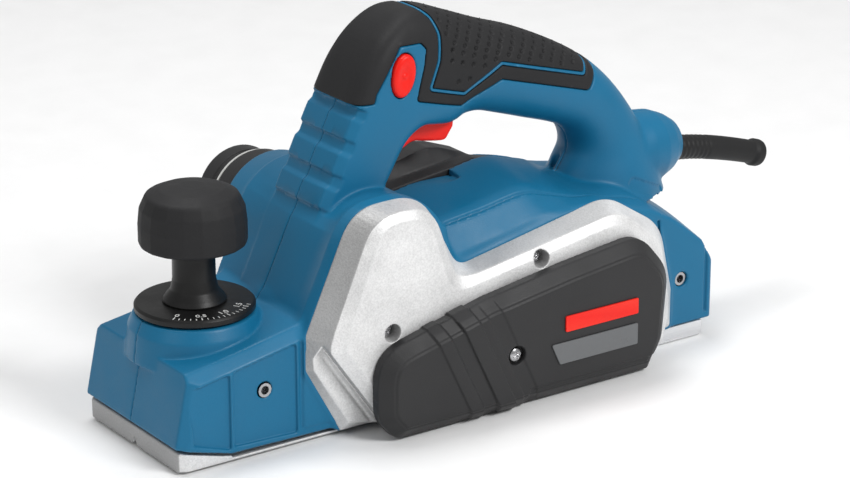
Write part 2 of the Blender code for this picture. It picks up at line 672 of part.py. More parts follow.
def motor():
    axis = (MOTOR_X, 0, MOTOR_Z)
    stator = turned("motor_stator", axis, "Y", [(-14, 27), (24, 27)], 28)
    cut(stator, turned("bore", axis, "Y", [(-16, 17.5), (26, 17.5)], 24))
    finish(stator, LAMINATION)
    core = turned("armature_core", axis, "Y", [(-14, 17.0), (24, 17.0)], 24)
    cut(core, turned("hole", axis, "Y", [(-16, 5.3), (26, 5.3)], 16))
    finish(core, LAMINATION, axis)
    commutator = turned("commutator", axis, "Y", [(26.5, 11.0), (36.5, 11.0)], 20)
    cut(commutator, turned("hole", axis, "Y", [(25, 5.3), (38, 5.3)], 16))
    finish(commutator, COPPER, axis)
    shaft = turned("armature_shaft", axis, "Y",
                   [(-67, 3.4), (-58.5, 3.4), (-58.5, 5.0), (37.0, 5.0), (37.0, 3.5), (39.4, 3.5)], 20)
    finish(shaft, STEEL, axis)
    fan = turned("cooling_fan", axis, "Y", [(-31.0, 9), (-17, 9)], 20)
    join(fan, turned("disc", axis, "Y", [(-32.5, 26), (-30.5, 26)], 28))
    for i in range(9):
        a = 2 * math.pi * i / 9
        blade = box("blade", (-0.8, 0.8), (-31, -19), (7, 25.5))
        blade.data.transform(Matrix.Rotation(a, 4, "Y"))
        blade.data.transform(Matrix.Translation(Vector(axis) * MM))
        join(fan, blade)
    cut(fan, turned("hole", axis, "Y", [(-34, 5.3), (-15, 5.3)], 16))
    finish(fan, NYLON, axis)
    bearing("motor_bearing_left", axis, (-56.5, -47.5), 14.0, 5.3)
    seat = turned("motor_bearing_right", axis, "Y", [(37.4, 8.0), (39.7, 8.0)], 20)
    cut(seat, turned("hole", axis, "Y", [(36, 3.8), (41, 3.8)], 16))
    finish(seat, STEEL)
    for index, sign in enumerate((-1, 1)):
        x0, x1 = sorted((MOTOR_X + sign * 11.4, MOTOR_X + sign * 19.5))
        brush = box("carbon_brush_%d" % (index + 1), (x0, x1), (28.5, 34.5), (MOTOR_Z - 3.5, MOTOR_Z + 3.5))
        finish(brush, CARBON)
        h0, h1 = sorted((MOTOR_X + sign * 13.5, MOTOR_X + sign * 25.0))
        holder = box("brush_holder_%d" % (index + 1), (h0, h1), (26.6, 36.4), (MOTOR_Z - 5.4, MOTOR_Z + 5.4))
        t0, t1 = sorted((MOTOR_X + sign * 10.0, MOTOR_X + sign * 21.0))
        cut(holder, box("tunnel", (t0, t1), (28.2, 34.8), (MOTOR_Z - 3.8, MOTOR_Z + 3.8)))
        finish(holder, DARK_GREY)


def belt_cover():
    """Hollow plastic cover over the belt, open towards the plate."""
    outer = [(85.5, 51, 10), (84.5, 24, 14), (98, 1.7, 12), (247, 1.7, 3), (256.5, 22, 20), (256, 60, 22),
             (226, 76, 18)]
    rim = rounded(outer, 4)
    brow = rounded([(x + (2 if x < 150 else -2), z + (2 if z < 30 else -2), r) for x, z, r in outer], 4)
    face = rounded([(x + (8 if x < 150 else -8), z + (8 if z < 30 else -8), r * 0.8) for x, z, r in outer], 4)
    cover = stack("belt_cover", [(rim, COVER_BACK_Y), (rim, -66.5), (brow, -68.6), (face, COVER_Y)])
    inner = rounded([(x + (3.5 if x < 150 else -3.5), z + (3.0 if z < 30 else -3.5), r) for x, z, r in outer], 4)
    cut(cover, prism("cover_hollow", inner, COVER_BACK_Y + 1, -67.4))
    cut(cover, turned("screw_well", (164.4, 0, 28.6), "Y", [(-72, 4.4), (-66.4, 4.4)], 14))
    join(cover, turned("boss", (164.4, 0, 28.6), "Y", [(-67.6, 6.2), (-59, 6.2)], 14))
    cut(cover, turned("screw_well", (164.4, 0, 28.6), "Y", [(-72, 4.4), (-65.4, 4.4)], 14))
    finish(cover, DARK_GREY)
    finish(screw("cover_screw", (164.4, 28.6), -66.3), STEEL)


# ------------------------------------------------------- switch and fasteners
def trigger():
    pivot = (149.0, 0, 137.0)
    outline = rounded([(141, 115.5, 2), (148, 119.4, 6), (167, 115.4, 3), (171.4, 123.0, 3), (171.5, 131, 2),
                       (158, 134, 3), (153, 141, 3), (145.5, 141, 3), (143.5, 131, 4), (141.4, 123.5, 3)], 2)
    lever = prism("trigger", outline, -8.2, 8.2)
    cut(lever, turned("pin_hole", pivot, "Y", [(-10, 2.4), (10, 2.4)], 14))
    finish(lever, RED, pivot)
    finish(turned("trigger_pin", pivot, "Y", [(-8.4, 2.0), (8.4, 2.0)], 12), STEEL)


def lock_button():
    button = stack("lock_button", [(oval(-0.8), -22.6), (oval(0), -21.8), (oval(0), -14)])
    return finish(button, RED, (BUTTON_X, -20, BUTTON_Z))


def switch_module():
    finish(box("switch_module", (153, 186), (-9, 9), (142.5, 158), 0.8), DARK_GREY)
    finish(box("suppressor", (205, 222), (-7, 7), (136, 146), 0.8), NYLON)


def side_inserts():
    for side, y0, y1 in (("left", -41.7, -34.0), ("right", 34.0, 41.7)):
        for end, (x, z) in INSERTS.items():
            name = "side_insert_%s_%s" % (side, end)
            insert = turned(name, (x, 0, z), "Y", [(y0, 3.4), (y1, 3.4)], 12)
            bore = (y0 - 1, y1 - 1.5) if side == "left" else (y0 + 1.5, y1 + 1)
            cut(insert, turned("hole", (x, 0, z), "Y", [(bore[0], 2.1), (bore[1], 2.1)], 10))
            finish(insert, STEEL)


def main():
    clear_scene()
    frame = bpy.data.objects.new("tool_frame", None)
    bpy.context.scene.collection.objects.link(frame)
    frame.location = Vector((-X_MID, -Y_MID, 0)) * MM
    housing()
    duct_cover()
    cord_sleeve()
    chip_outlet()
    front_shoe()
    rear_sole()
    side_plate()
    right_bearing_cap()
    depth_adjuster()
    cutter_drum()
    pulley("drum_pulley", (DRUM_X, 0, DRUM_Z), DRUM_PULLEY_R, 3.6)
    pulley("motor_pulley", (MOTOR_X, 0, MOTOR_Z), MOTOR_PULLEY_R, 3.6)
    drive_belt()
    motor()
    belt_cover()
    trigger()
    lock_button()
    switch_module()
    side_inserts()


main()
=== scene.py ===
"""Looks of the hand-held electric planer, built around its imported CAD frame.

Shapes are drawn in millimetres in the part's drawing frame: X = 0 at the front
edge of the front shoe, +X to the rear, Y = 0 on the handle's mid-plane, -Y on
the belt side and Z = 0 on the rear sole. ORIGIN moves them into the row frame.
Moulded and cast pieces are signed distance fields turned into meshes; turned
pieces are profiles spun about their axis.
"""

import math

import bmesh
import bpy
import numpy as np
from mathutils import Matrix, Vector


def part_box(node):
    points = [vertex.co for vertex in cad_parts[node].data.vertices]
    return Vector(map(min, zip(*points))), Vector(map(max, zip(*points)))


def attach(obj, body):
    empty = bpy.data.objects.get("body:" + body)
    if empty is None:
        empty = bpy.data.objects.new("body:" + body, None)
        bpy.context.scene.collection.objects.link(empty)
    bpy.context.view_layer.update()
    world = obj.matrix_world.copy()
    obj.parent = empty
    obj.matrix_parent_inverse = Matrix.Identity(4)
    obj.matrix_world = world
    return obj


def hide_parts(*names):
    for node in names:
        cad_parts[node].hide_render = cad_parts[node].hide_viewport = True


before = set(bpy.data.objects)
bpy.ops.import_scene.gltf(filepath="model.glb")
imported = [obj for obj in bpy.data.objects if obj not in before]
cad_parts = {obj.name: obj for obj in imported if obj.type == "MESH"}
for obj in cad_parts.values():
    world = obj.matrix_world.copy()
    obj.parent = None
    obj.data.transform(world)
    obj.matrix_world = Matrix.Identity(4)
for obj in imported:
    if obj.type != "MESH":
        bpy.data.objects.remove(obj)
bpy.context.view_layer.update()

MM = 0.001
DRUM = (112.0, 28.0)          # drum axis, X and Z
MOTOR = (228.0, 44.0)
KNOB_X = 33.7
DUCT = (113.0, 75.0)
CORD_Z = 83.3
HALF = 43.0                   # half-width of the housing
SOLE_HALF = 41.0              # half-width of both soles
SHELL = 3.2                   # wall of the casing
BUTTON = (134.2, 156.3)       # lock button's middle, X and Z
DIAGONAL = 0.707              # scales a sum of two distances across a 45 degree chamfer
SHOE_LIFT = 1.0               # planing depth that the model is stored at

drum_low, drum_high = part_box("drum_pulley")
handle_low, handle_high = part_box("trigger")
ORIGIN = Vector((
    DRUM[0] - (drum_low.x + drum_high.x) / 2 / MM,
    -(handle_low.y + handle_high.y) / 2 / MM,
    0.0,
))


# ------------------------------------------------------------------ field tools
def smooth_min(a, b, k):
    if k <= 0:
        return np.minimum(a, b)
    h = np.clip(0.5 + 0.5 * (b - a) / k, 0, 1)
    return b * (1 - h) + a * h - k * h * (1 - h)


def smooth_max(a, b, k):
    return -smooth_min(-a, -b, k)


CORNERS = [(dx, dy, dz) for dx in (0, 1) for dy in (0, 1) for dz in (0, 1)]


class Field:
    """Signed distances on a regular grid: negative inside, in millimetres."""

    def __init__(self, low, high, step):
        self.low = np.array(low, float)
        self.step = step
        counts = np.ceil((np.array(high, float) - self.low) / step).astype(int) + 1
        self.lines = [self.low[i] + step * np.arange(counts[i]) for i in range(3)]
        self.value = np.full(tuple(counts), 40.0, np.float32)

    def part(self, low, high):
        """Slices of a box of the grid, and its X, Y and Z as open arrays."""
        cuts = []
        for axis, line in enumerate(self.lines):
            first = 0 if low is None else int(np.searchsorted(line, low[axis]))
            last = len(line) if high is None else int(np.searchsorted(line, high[axis], "right"))
            cuts.append(slice(first, max(last, first)))
        x, y, z = (line[cut].astype(np.float32) for line, cut in zip(self.lines, cuts))
        return tuple(cuts), x[:, None, None], y[None, :, None], z[None, None, :]

    def _mix(self, shape, low, high, rule):
        cuts, x, y, z = self.part(low, high)
        here = self.value[cuts]
        if here.size:
            self.value[cuts] = rule(here, shape(x, y, z))
        return self

    def add(self, shape, k=0.0, low=None, high=None):
        return self._mix(shape, low, high, lambda a, b: smooth_min(a, b, k))

    def carve(self, shape, k=0.0, low=None, high=None):
        return self._mix(shape, low, high, lambda a, b: smooth_max(a, -b, k))

    def keep(self, shape, k=0.0, low=None, high=None):
        return self._mix(shape, low, high, lambda a, b: smooth_max(a, b, k))

    def recess(self, area, depth, low, high):
        """Sink the surface by depth wherever the area shape is negative."""
        return self._mix(area, low, high, lambda a, b: np.maximum(a, np.minimum(-b, a + depth)))

    def sample(self, points):
        """Trilinear values at the points, given in grid steps."""
        size = np.array(self.value.shape)
        p = np.clip(points, 0, size - 1.001)
        base = p.astype(int)
        t = p - base
        total = np.zeros(len(p))
        for dx, dy, dz in CORNERS:
            weight = np.abs(1 - dx - t[:, 0]) * np.abs(1 - dy - t[:, 1]) * np.abs(1 - dz - t[:, 2])
            total += weight * self.value[base[:, 0] + dx, base[:, 1] + dy, base[:, 2] + dz]
        return total


def skin(field):
    """Points in millimetres and quads of the field's zero surface."""
    f = field.value
    for axis in range(3):
        edge = np.moveaxis(f, axis, 0)
        edge[0] = np.maximum(edge[0], 0.05)
        edge[-1] = np.maximum(edge[-1], 0.05)
    sign = f < 0
    shape = tuple(n - 1 for n in f.shape)
    count = np.zeros(shape, np.uint8)
    for dx, dy, dz in CORNERS:
        count += sign[dx:dx + shape[0], dy:dy + shape[1], dz:dz + shape[2]]
    cells = np.argwhere((count > 0) & (count < 8))
    number = np.full(shape, -1, np.int64)
    number[tuple(cells.T)] = np.arange(len(cells))
    corner = {c: f[cells[:, 0] + c[0], cells[:, 1] + c[1], cells[:, 2] + c[2]] for c in CORNERS}
    total = np.zeros((len(cells), 3))
    hits = np.zeros(len(cells))
    for c in CORNERS:
        for axis in range(3):
            if c[axis]:
                continue
            d = tuple(1 if i == axis else v for i, v in enumerate(c))
            crossed = (corner[c] < 0) != (corner[d] < 0)
            a, b = corner[c][crossed], corner[d][crossed]
            spot = np.tile(np.array(c, float), (len(a), 1))
            spot[:, axis] = a / (a - b)
            total[crossed] += spot
            hits[crossed] += 1
    points = cells + total / hits[:, None]
    points = settle(field, points)
    quads = []
    for axis in range(3):
        u, v = (axis + 1) % 3, (axis + 2) % 3
        lower = np.take(sign, np.arange(f.shape[axis] - 1), axis)
        upper = np.take(sign, np.arange(1, f.shape[axis]), axis)
        edges = np.argwhere(lower != upper)
        good = (edges[:, u] > 0) & (edges[:, v] > 0)
        good &= (edges[:, u] < f.shape[u] - 1) & (edges[:, v] < f.shape[v] - 1)
        edges = edges[good]
        outward = lower[tuple(edges.T)]
        ring = []
        for du, dv in ((1, 1), (0, 1), (0, 0), (1, 0)):
            cell = edges.copy()
            cell[:, u] -= du
            cell[:, v] -= dv
            ring.append(number[tuple(cell.T)])
        ring = np.stack(ring, 1)
        ring[~outward] = ring[~outward][:, ::-1]
        quads.append(ring)
    return field.low + points * field.step, np.concatenate(quads)


def settle(field, points, rounds=2):
    """Move each point onto the zero surface along the field's slope."""
    start = points.copy()
    for _ in range(rounds):
        value = field.sample(points)
        slope = np.zeros_like(points)
        for axis in range(3):
            step = np.zeros(3)
            step[axis] = 0.5
            slope[:, axis] = field.sample(points + step) - field.sample(points - step)
        size = np.maximum((slope ** 2).sum(1), 0.05)
        points = points - (value / size)[:, None] * slope
        points = np.clip(points, start - 0.6, start + 0.6)
    return points


def link_new(name, data):
    obj = bpy.data.objects.new(name, data)
    bpy.context.scene.collection.objects.link(obj)
    return obj


def mesh_object(name, points, faces):
    """Object from points in millimetres of the drawing frame and quad indices."""
    mesh = bpy.data.meshes.new(name)
    co = (np.asarray(points, float) - np.array(ORIGIN)) * MM
    faces = np.asarray(faces)
    mesh.vertices.add(len(co))
    mesh.vertices.foreach_set("co", co.astype(np.float32).ravel())
    mesh.loops.add(faces.size)
    mesh.loops.foreach_set("vertex_index", faces.astype(np.int32).ravel())
    mesh.polygons.add(len(faces))
    mesh.polygons.foreach_set("loop_start", np.arange(0, faces.size, faces.shape[1], dtype=np.int32))
    mesh.update(calc_edges=True)
    mesh.validate()
    mesh.shade_smooth()
    return link_new(name, mesh)


def from_field(name, field, keep_share=1.0):
    obj = mesh_object(name, *skin(field))
    if keep_share < 1:
        thin = obj.modifiers.new("thin", "DECIMATE")
        thin.ratio = keep_share
    return obj


# ----------------------------------------------------------------- field shapes
def arc(cx, cz, r, start, end, steps):
    angles = [math.radians(start + (end - start) * i / steps) for i in range(steps + 1)]
    return [(cx + r * math.cos(a), cz + r * math.sin(a)) for a in angles]


def rounded(corners, steps=6):
    """Closed outline through (a, b, radius) corners, each turned into a curve."""
    points = []
    count = len(corners)
    for i, (a, b, r) in enumerate(corners):
        here = Vector((a, b))
        before = Vector(corners[i - 1][:2]) - here
        after = Vector(corners[(i + 1) % count][:2]) - here
        half = max(before.angle(after) / 2, 0.05)
        reach = min(r / math.tan(half), before.length * 0.49, after.length * 0.49)
        start = here + before.normalized() * reach
        end = here + after.normalized() * reach
        for k in range(steps + 1):
            t = k / steps
            point = start * (1 - t) ** 2 + here * 2 * t * (1 - t) + end * t ** 2
            points.append((point.x, point.y))
    return points


def outline_distance(points, a, b):
    """Signed distance in a plane to a closed outline; a and b are open arrays."""
    best = None
    inside = None
    for (ax, az), (bx, bz) in zip(points, points[1:] + points[:1]):
        ex, ez = bx - ax, bz - az
        size = ex * ex + ez * ez
        if size < 1e-9:
            continue
        wx, wz = a - ax, b - az
        t = np.clip((wx * ex + wz * ez) / size, 0, 1)
        d = (wx - ex * t) ** 2 + (wz - ez * t) ** 2
        best = d if best is None else np.minimum(best, d)
        if inside is None:
            inside = np.zeros(d.shape, bool)
        if ez:
            crossing = ((az <= b) & (bz > b)) | ((bz <= b) & (az > b))
            inside ^= crossing & (a < ax + (b - az) / ez * ex)
    best = np.sqrt(best)
    return np.where(inside, -best, best)


def side_outline(points):
    """Shape that fills the outline in XZ at every Y."""
    return lambda x, y, z: outline_distance(points, x, z)


def slab(shape, y0, y1):
    """The shape between two Y planes."""
    return lambda x, y, z: np.maximum(shape(x, y, z), np.maximum(y0 - y, y - y1))


def about(axis, centre, x, y, z):
    """Distances along an axis from the centre, and out from the axis."""
    across = [v - c for v, c in zip((x, y, z), centre)]
    along = across.pop("XYZ".index(axis))
    return along, np.sqrt(across[0] ** 2 + across[1] ** 2)


def spun(axis, centre, profile):
    """Shape turned about an axis; profile is a closed outline of (along, radius)."""
    return lambda x, y, z: outline_distance(profile, *about(axis, centre, x, y, z))


def rod(axis, centre, radius, reach):
    """Plain round bar about an axis, of half length reach."""
    def shape(x, y, z):
        along, out = about(axis, centre, x, y, z)
        return np.maximum(out - radius, np.abs(along) - reach)
    return shape


def ball(centre, radius):
    cx, cy, cz = centre
    return lambda x, y, z: np.sqrt((x - cx) ** 2 + (y - cy) ** 2 + (z - cz) ** 2) - radius


def block(low, high, r=0.0):
    """Box with rounded edges."""
    middle = [(a + b) / 2 for a, b in zip(low, high)]
    half = [(b - a) / 2 - r for a, b in zip(low, high)]
    def shape(x, y, z):
        q = [np.abs(v - m) - h for v, m, h in zip((x, y, z), middle, half)]
        outside = np.sqrt(sum(np.maximum(v, 0) ** 2 for v in q))
        return outside + np.minimum(np.maximum(np.maximum(q[0], q[1]), q[2]), 0) - r
    return shape


def capsule(a, b, r):
    """Round bar between two points."""
    a, b = np.array(a, float), np.array(b, float)
    d = b - a
    def shape(x, y, z):
        px, py, pz = x - a[0], y - a[1], z - a[2]
        t = np.clip((px * d[0] + py * d[1] + pz * d[2]) / (d @ d), 0, 1)
        return np.sqrt((px - t * d[0]) ** 2 + (py - t * d[1]) ** 2 + (pz - t * d[2]) ** 2) - r
    return shape


# ------------------------------------------------------------------ the handle
# Sections: outer point, inner point, half-width, squareness of the section.
HANDLE = [
    ((67, 61), (100, 44), 20.5, 7.0),
    ((76, 81), (112, 62), 21.0, 7.0),
    ((90, 112), (123, 97), 21.0, 7.0),
    ((99.3, 129), (131, 112), 21.0, 6.4),
    ((107.8, 144.8), (139, 123), 21.0, 5.6),
    ((116.6, 161.4), (148, 128), 21.0, 5.4),
    ((127.2, 174.3), (156, 127), 20.5, 5.0),
    ((140.6, 182.4), (164, 125.5), 20.0, 4.2),
    ((155, 182.5), (171, 125), 19.5, 3.0),
    ((170.6, 177.2), (177, 126.5), 19.0, 2.5),
    ((189.6, 170.0), (186, 126.5), 19.0, 2.4),
    ((209.5, 163.3), (198, 123), 19.0, 2.3),
    ((231.3, 153.4), (215, 117.5), 18.5, 2.3),
    ((249.2, 143), (229, 113), 18.5, 2.3),
    ((263, 131.2), (238, 109), 18.5, 2.3),
    ((275, 117), (243, 103), 19.0, 2.2),
    ((285, 101.8), (243.5, 95), 20.5, 2.0),
    ((293, 86), (238, 86), 23.5, 1.9),
    ((300, 69), (232, 72), 28.0, 1.8),
]
HANDLE_STEPS = 6              # stations between two sections
HANDLE_MARGIN = 9.0           # how far round the handle its field reaches


def spline(values, at):
    """Smooth curve through rows of values, at fractional row numbers."""
    values = np.array(values, float)
    count = len(values)
    i = np.clip(np.floor(at).astype(int), 0, count - 2)
    t = (at - i)[:, None]
    before, after = np.maximum(i - 1, 0), np.minimum(i + 2, count - 1)
    p0, p1, p2, p3 = values[before], values[i], values[i + 1], values[after]
    return 0.5 * (2 * p1 + (p2 - p0) * t + (2 * p0 - 5 * p1 + 4 * p2 - p3) * t ** 2
                  + (3 * p1 - p0 - 3 * p2 + p3) * t ** 3)


HANDLE_ROWS = [(*outer, *inner, half, power) for outer, inner, half, power in HANDLE]
STATIONS = spline(HANDLE_ROWS, np.linspace(0, len(HANDLE) - 1, (len(HANDLE) - 1) * HANDLE_STEPS + 1))


def handle_map(x, z):
    """For XZ points: place across the section (+-1 at its ends), and the section's size."""
    shape = np.broadcast(x, z).shape
    px, pz = np.broadcast_to(x, shape), np.broadcast_to(z, shape)
    across = np.full(shape, 9.0, np.float32)
    sizes = np.ones((3,) + shape, np.float32)
    for a, b in zip(STATIONS[:-1], STATIONS[1:]):
        ends = []
        for row in (a, b):
            outer, inner = row[:2], row[2:4]
            middle, arm = (outer + inner) / 2, (outer - inner) / 2
            stretch = 1 + HANDLE_MARGIN / np.linalg.norm(arm)
            ends.append((middle - arm * stretch, middle + arm * stretch, stretch, np.linalg.norm(arm)))
        quad = np.array([ends[0][0], ends[0][1], ends[1][0], ends[1][1]])
        low, high = quad.min(0) - 0.5, quad.max(0) + 0.5
        near = (px >= low[0]) & (px <= high[0]) & (pz >= low[1]) & (pz <= high[1])
        if not near.any():
            continue
        p = np.stack([px[near], pz[near]], 1).astype(float)
        t, w = np.full(len(p), 0.5), np.full(len(p), 0.5)
        for _ in range(6):
            start = quad[0] + (quad[2] - quad[0]) * t[:, None]
            end = quad[1] + (quad[3] - quad[1]) * t[:, None]
            error = start + (end - start) * w[:, None] - p
            dt = (quad[2] - quad[0]) * (1 - w[:, None]) + (quad[3] - quad[1]) * w[:, None]
            dw = end - start
            det = dt[:, 0] * dw[:, 1] - dt[:, 1] * dw[:, 0]
            det = np.where(np.abs(det) < 1e-6, 1e-6, det)
            t = np.clip(t - (error[:, 0] * dw[:, 1] - error[:, 1] * dw[:, 0]) / det, -0.5, 1.5)
            w = np.clip(w - (dt[:, 0] * error[:, 1] - dt[:, 1] * error[:, 0]) / det, -0.5, 1.5)
        hit = (t > -0.02) & (t < 1.02) & (w >= 0) & (w <= 1)
        stretch = ends[0][2] * (1 - t) + ends[1][2] * t
        place = (2 * w - 1) * stretch
        old = across[near]
        better = hit & (np.abs(place) < np.abs(old))
        across[near] = np.where(better, place, old)
        for k, pair in enumerate(((a[4], b[4]), (a[5], b[5]), (ends[0][3], ends[1][3]))):
            size = sizes[k][near]
            sizes[k][near] = np.where(better, pair[0] * (1 - t) + pair[1] * t, size)
    return across, sizes


LEG_FOOT, LEG_TOP = np.array((85.3, 94.9)), np.array((109.6, 145.0))
LEG_ALONG = (LEG_TOP - LEG_FOOT) / np.linalg.norm(LEG_TOP - LEG_FOOT)
LEG_OUT = np.array((-LEG_ALONG[1], LEG_ALONG[0]))
RIB_PITCH, RIB_HEIGHT = 16.6, 1.5
RIB_START, RIB_END = 3.6, 53.0
RIB_FADE = 3.0                # length over which the leg's flat front ends above the ribs
FAR_INSIDE = 20.0


def leg_front(x, y, z):
    """Stepped gripping ribs on the front of the leg, with bevelled corners."""
    out = (x - LEG_TOP[0]) * LEG_OUT[0] + (z - LEG_TOP[1]) * LEG_OUT[1]
    along = -((x - LEG_TOP[0]) * LEG_ALONG[0] + (z - LEG_TOP[1]) * LEG_ALONG[1])
    phase = np.mod(along - RIB_START, RIB_PITCH)
    rise = np.clip(phase / 2.4, 0, 1)
    fall = np.clip((12.0 - phase) / 0.5, 0, 1)
    rib = RIB_HEIGHT * np.minimum(rise, fall) * (along > RIB_START) * (along < RIB_END)
    face = out + RIB_HEIGHT - rib + np.abs(y) * 0.05
    corner = (face + np.abs(y) - 21.0 + np.where(y < 0, 3.6, 1.6)) * DIAGONAL
    front = smooth_max(face, corner, 0.2)
    faded = front * (1 + along / RIB_FADE) - FAR_INSIDE * (-along / RIB_FADE)
    return np.where(along < -RIB_FADE, -FAR_INSIDE, np.where(along < 0, faded, front))


def handle_shape(grow=0.0, ribs=True):
    """The whole handle loop as a field shape."""
    def shape(x, y, z):
        across, (half, power, reach) = handle_map(x[:, 0], z[0])
        across, half, power, reach = (v[:, None, :] for v in (across, half, power, reach))
        u = np.maximum(np.abs(y) / half, 1e-4)
        v = np.maximum(np.abs(across), 1e-4)
        ring = (u ** power + v ** power) ** (1 / power)
        slope_y = (u / ring) ** (power - 1) / half
        slope_v = (v / ring) ** (power - 1) / reach
        value = (ring - 1) / np.sqrt(slope_y ** 2 + slope_v ** 2)
        value = np.where(np.broadcast_to(v > 8, value.shape), 40.0, value)
        if ribs:
            value = smooth_max(value, leg_front(x, y, z), 0.3)
        return value - grow
    return shape


def handle_point(row, turn):
    """Point on the handle's surface at a station (fractional) and an angle from its outer edge."""
    outer_x, outer_z, inner_x, inner_z, half, power = spline(STATIONS, np.array([row]))[0]
    c, s = math.cos(turn), math.sin(turn)
    across = math.copysign(abs(s) ** (2 / power), s) * half
    along = math.copysign(abs(c) ** (2 / power), c)
    x = (outer_x + inner_x) / 2 + (outer_x - inner_x) / 2 * along
    z = (outer_z + inner_z) / 2 + (outer_z - inner_z) / 2 * along
    return np.array((x, across, z))


# Soft parts: outline of the whole dark area, and of the dimpled panel in it.
DARK_AREA = rounded([
    (90, 145.5, 0.5), (118.6, 145.5, 1.2), (119.6, 149.5, 3), (128.1, 161.5, 6), (133.6, 169.6, 1.2),
    (144.6, 169.6, 1.6), (147.4, 166.5, 1.5), (146.2, 158.5, 8), (141.6, 142.6, 2), (169.4, 134.9, 2),
    (191.4, 144.2, 2), (243.2, 129.4, 3), (249.6, 137.0, 3), (253.5, 150, 4), (262, 200, 1), (90, 200, 1),
], 5)
PANEL = rounded([
    (146, 200, 1), (149.2, 184.5, 2), (153.6, 179.0, 5), (155.9, 171.5, 8), (155.0, 159.5, 12),
    (149.8, 146.8, 1.5), (170.4, 140.8, 1.5), (191.4, 152.0, 1.5), (241.6, 137.6, 2.0), (245.6, 142.5, 2.5),
    (246.2, 150, 4), (258, 200, 1),
], 5)
LINE_WIDTH = 1.5
SOFT_DEPTH = 2.4


soft_area = side_outline(DARK_AREA)
panel_area = side_outline(PANEL)


# -------------------------------------------------------------------- the body
# x, side-wall top, crown height at the mid-plane
BODY = [
    (66, 47.0, 58.0), (92, 55.0, 76.0), (118, 64.0, 88.0), (145, 71.5, 94.5), (170, 76.0, 98.0),
    (192, 80.0, 101.4), (206, 82.5, 98.5), (222, 82.5, 94.0), (240, 80.0, 90.0), (258, 74.0, 86.0),
    (276, 66.6, 76.0), (296, 55.4, 60.0), (303, 45.5, 48.0),
]
FACET_SLOPE = math.tan(math.radians(15))
FACET_Y = 33.0
TAIL_X = 303.0


def body_shape(inset=0.0, floor=9.0):
    """Main casing: flat sides, a chamfer and a gently sloped upper face."""
    rows = np.array(BODY, float)
    stations = np.linspace(0, len(rows) - 1, 240)
    table = spline(rows, stations)
    def shape(x, y, z):
        side, crown = (np.where(x > 270, np.interp(x, rows[:, 0], rows[:, k]),
                                np.interp(x, table[:, 0], table[:, k])) - inset for k in (1, 2))
        half = HALF - inset
        wide = np.sqrt(y ** 2 + 36) - 6
        facet = (z - crown + wide * FACET_SLOPE) * 0.93
        knee = crown - FACET_Y * FACET_SLOPE
        rise, run = np.maximum(knee - side, 1.0), half - FACET_Y
        chamfer = ((np.abs(y) - half) * rise + (z - side) * run) / np.sqrt(rise ** 2 + run ** 2)
        top = smooth_max(facet, chamfer, 2.5)
        value = smooth_max(top, np.abs(y) - half, 2.0)
        corner = (x - TAIL_X + inset + np.abs(y) - half + 1.6) * DIAGONAL
        value = smooth_max(value, np.maximum(np.maximum(64 - x + inset, x - TAIL_X + inset), corner), 0.7)
        return np.maximum(value, floor - z)
    return shape


DECK = [
    (-1.7, 12.8), (5.5, 46.2), (26, 49.5), (70, 57.6), (92, 57.6),
    (92, 4.4), (84, 4.4), (26, 5.2), (5.5, 10.8),
]


def nose_shape(inset=0.0, open_floor=False):
    """Box over the front shoe: leaning face, rising deck, chamfered edges."""
    outline = DECK if not open_floor else DECK[:5] + [(92, -8), (3, -8)]
    def shape(x, y, z):
        value = outline_distance(outline, x, z) + inset
        deck = np.interp(x, (5.5, 26, 70), (46.2, 49.5, 57.6)) - inset
        wall = np.abs(y) - HALF + inset
        chamfer = (wall + z - deck + 5.6) * DIAGONAL
        front = -1.7 + (z - 12.8) * 0.218 + inset
        corner = -0.454 * (x - front) + 0.891 * (wall + 2.9)
        value = smooth_max(value, wall, 0.8)
        return smooth_max(smooth_max(value, chamfer, 0.8), corner, 0.6)
    return shape


PLATE_BACK = [
    (82, 2, 1), (63.5, 36, 4), (64, 52, 4), (90, 108, 22), (127, 108.5, 24), (148, 69, 8),
    (234, 86, 26), (268, 65, 26), (276, 30, 6), (276, 9.5, 3),
]


WALL = [(64.8, 48), (68.6, 58.0), (86.0, 93.8), (90.5, 97.5), (100, 99), (122, 96), (142, 88), (142, 48)]


def front_wall(x, y, z):
    """Leaning wall under the ribs, from the cast plate to the chip duct, folded near the mid-plane."""
    back = np.maximum(y - 3, 0) * 0.09
    return outline_distance(WALL, x - back, z) * 0.95


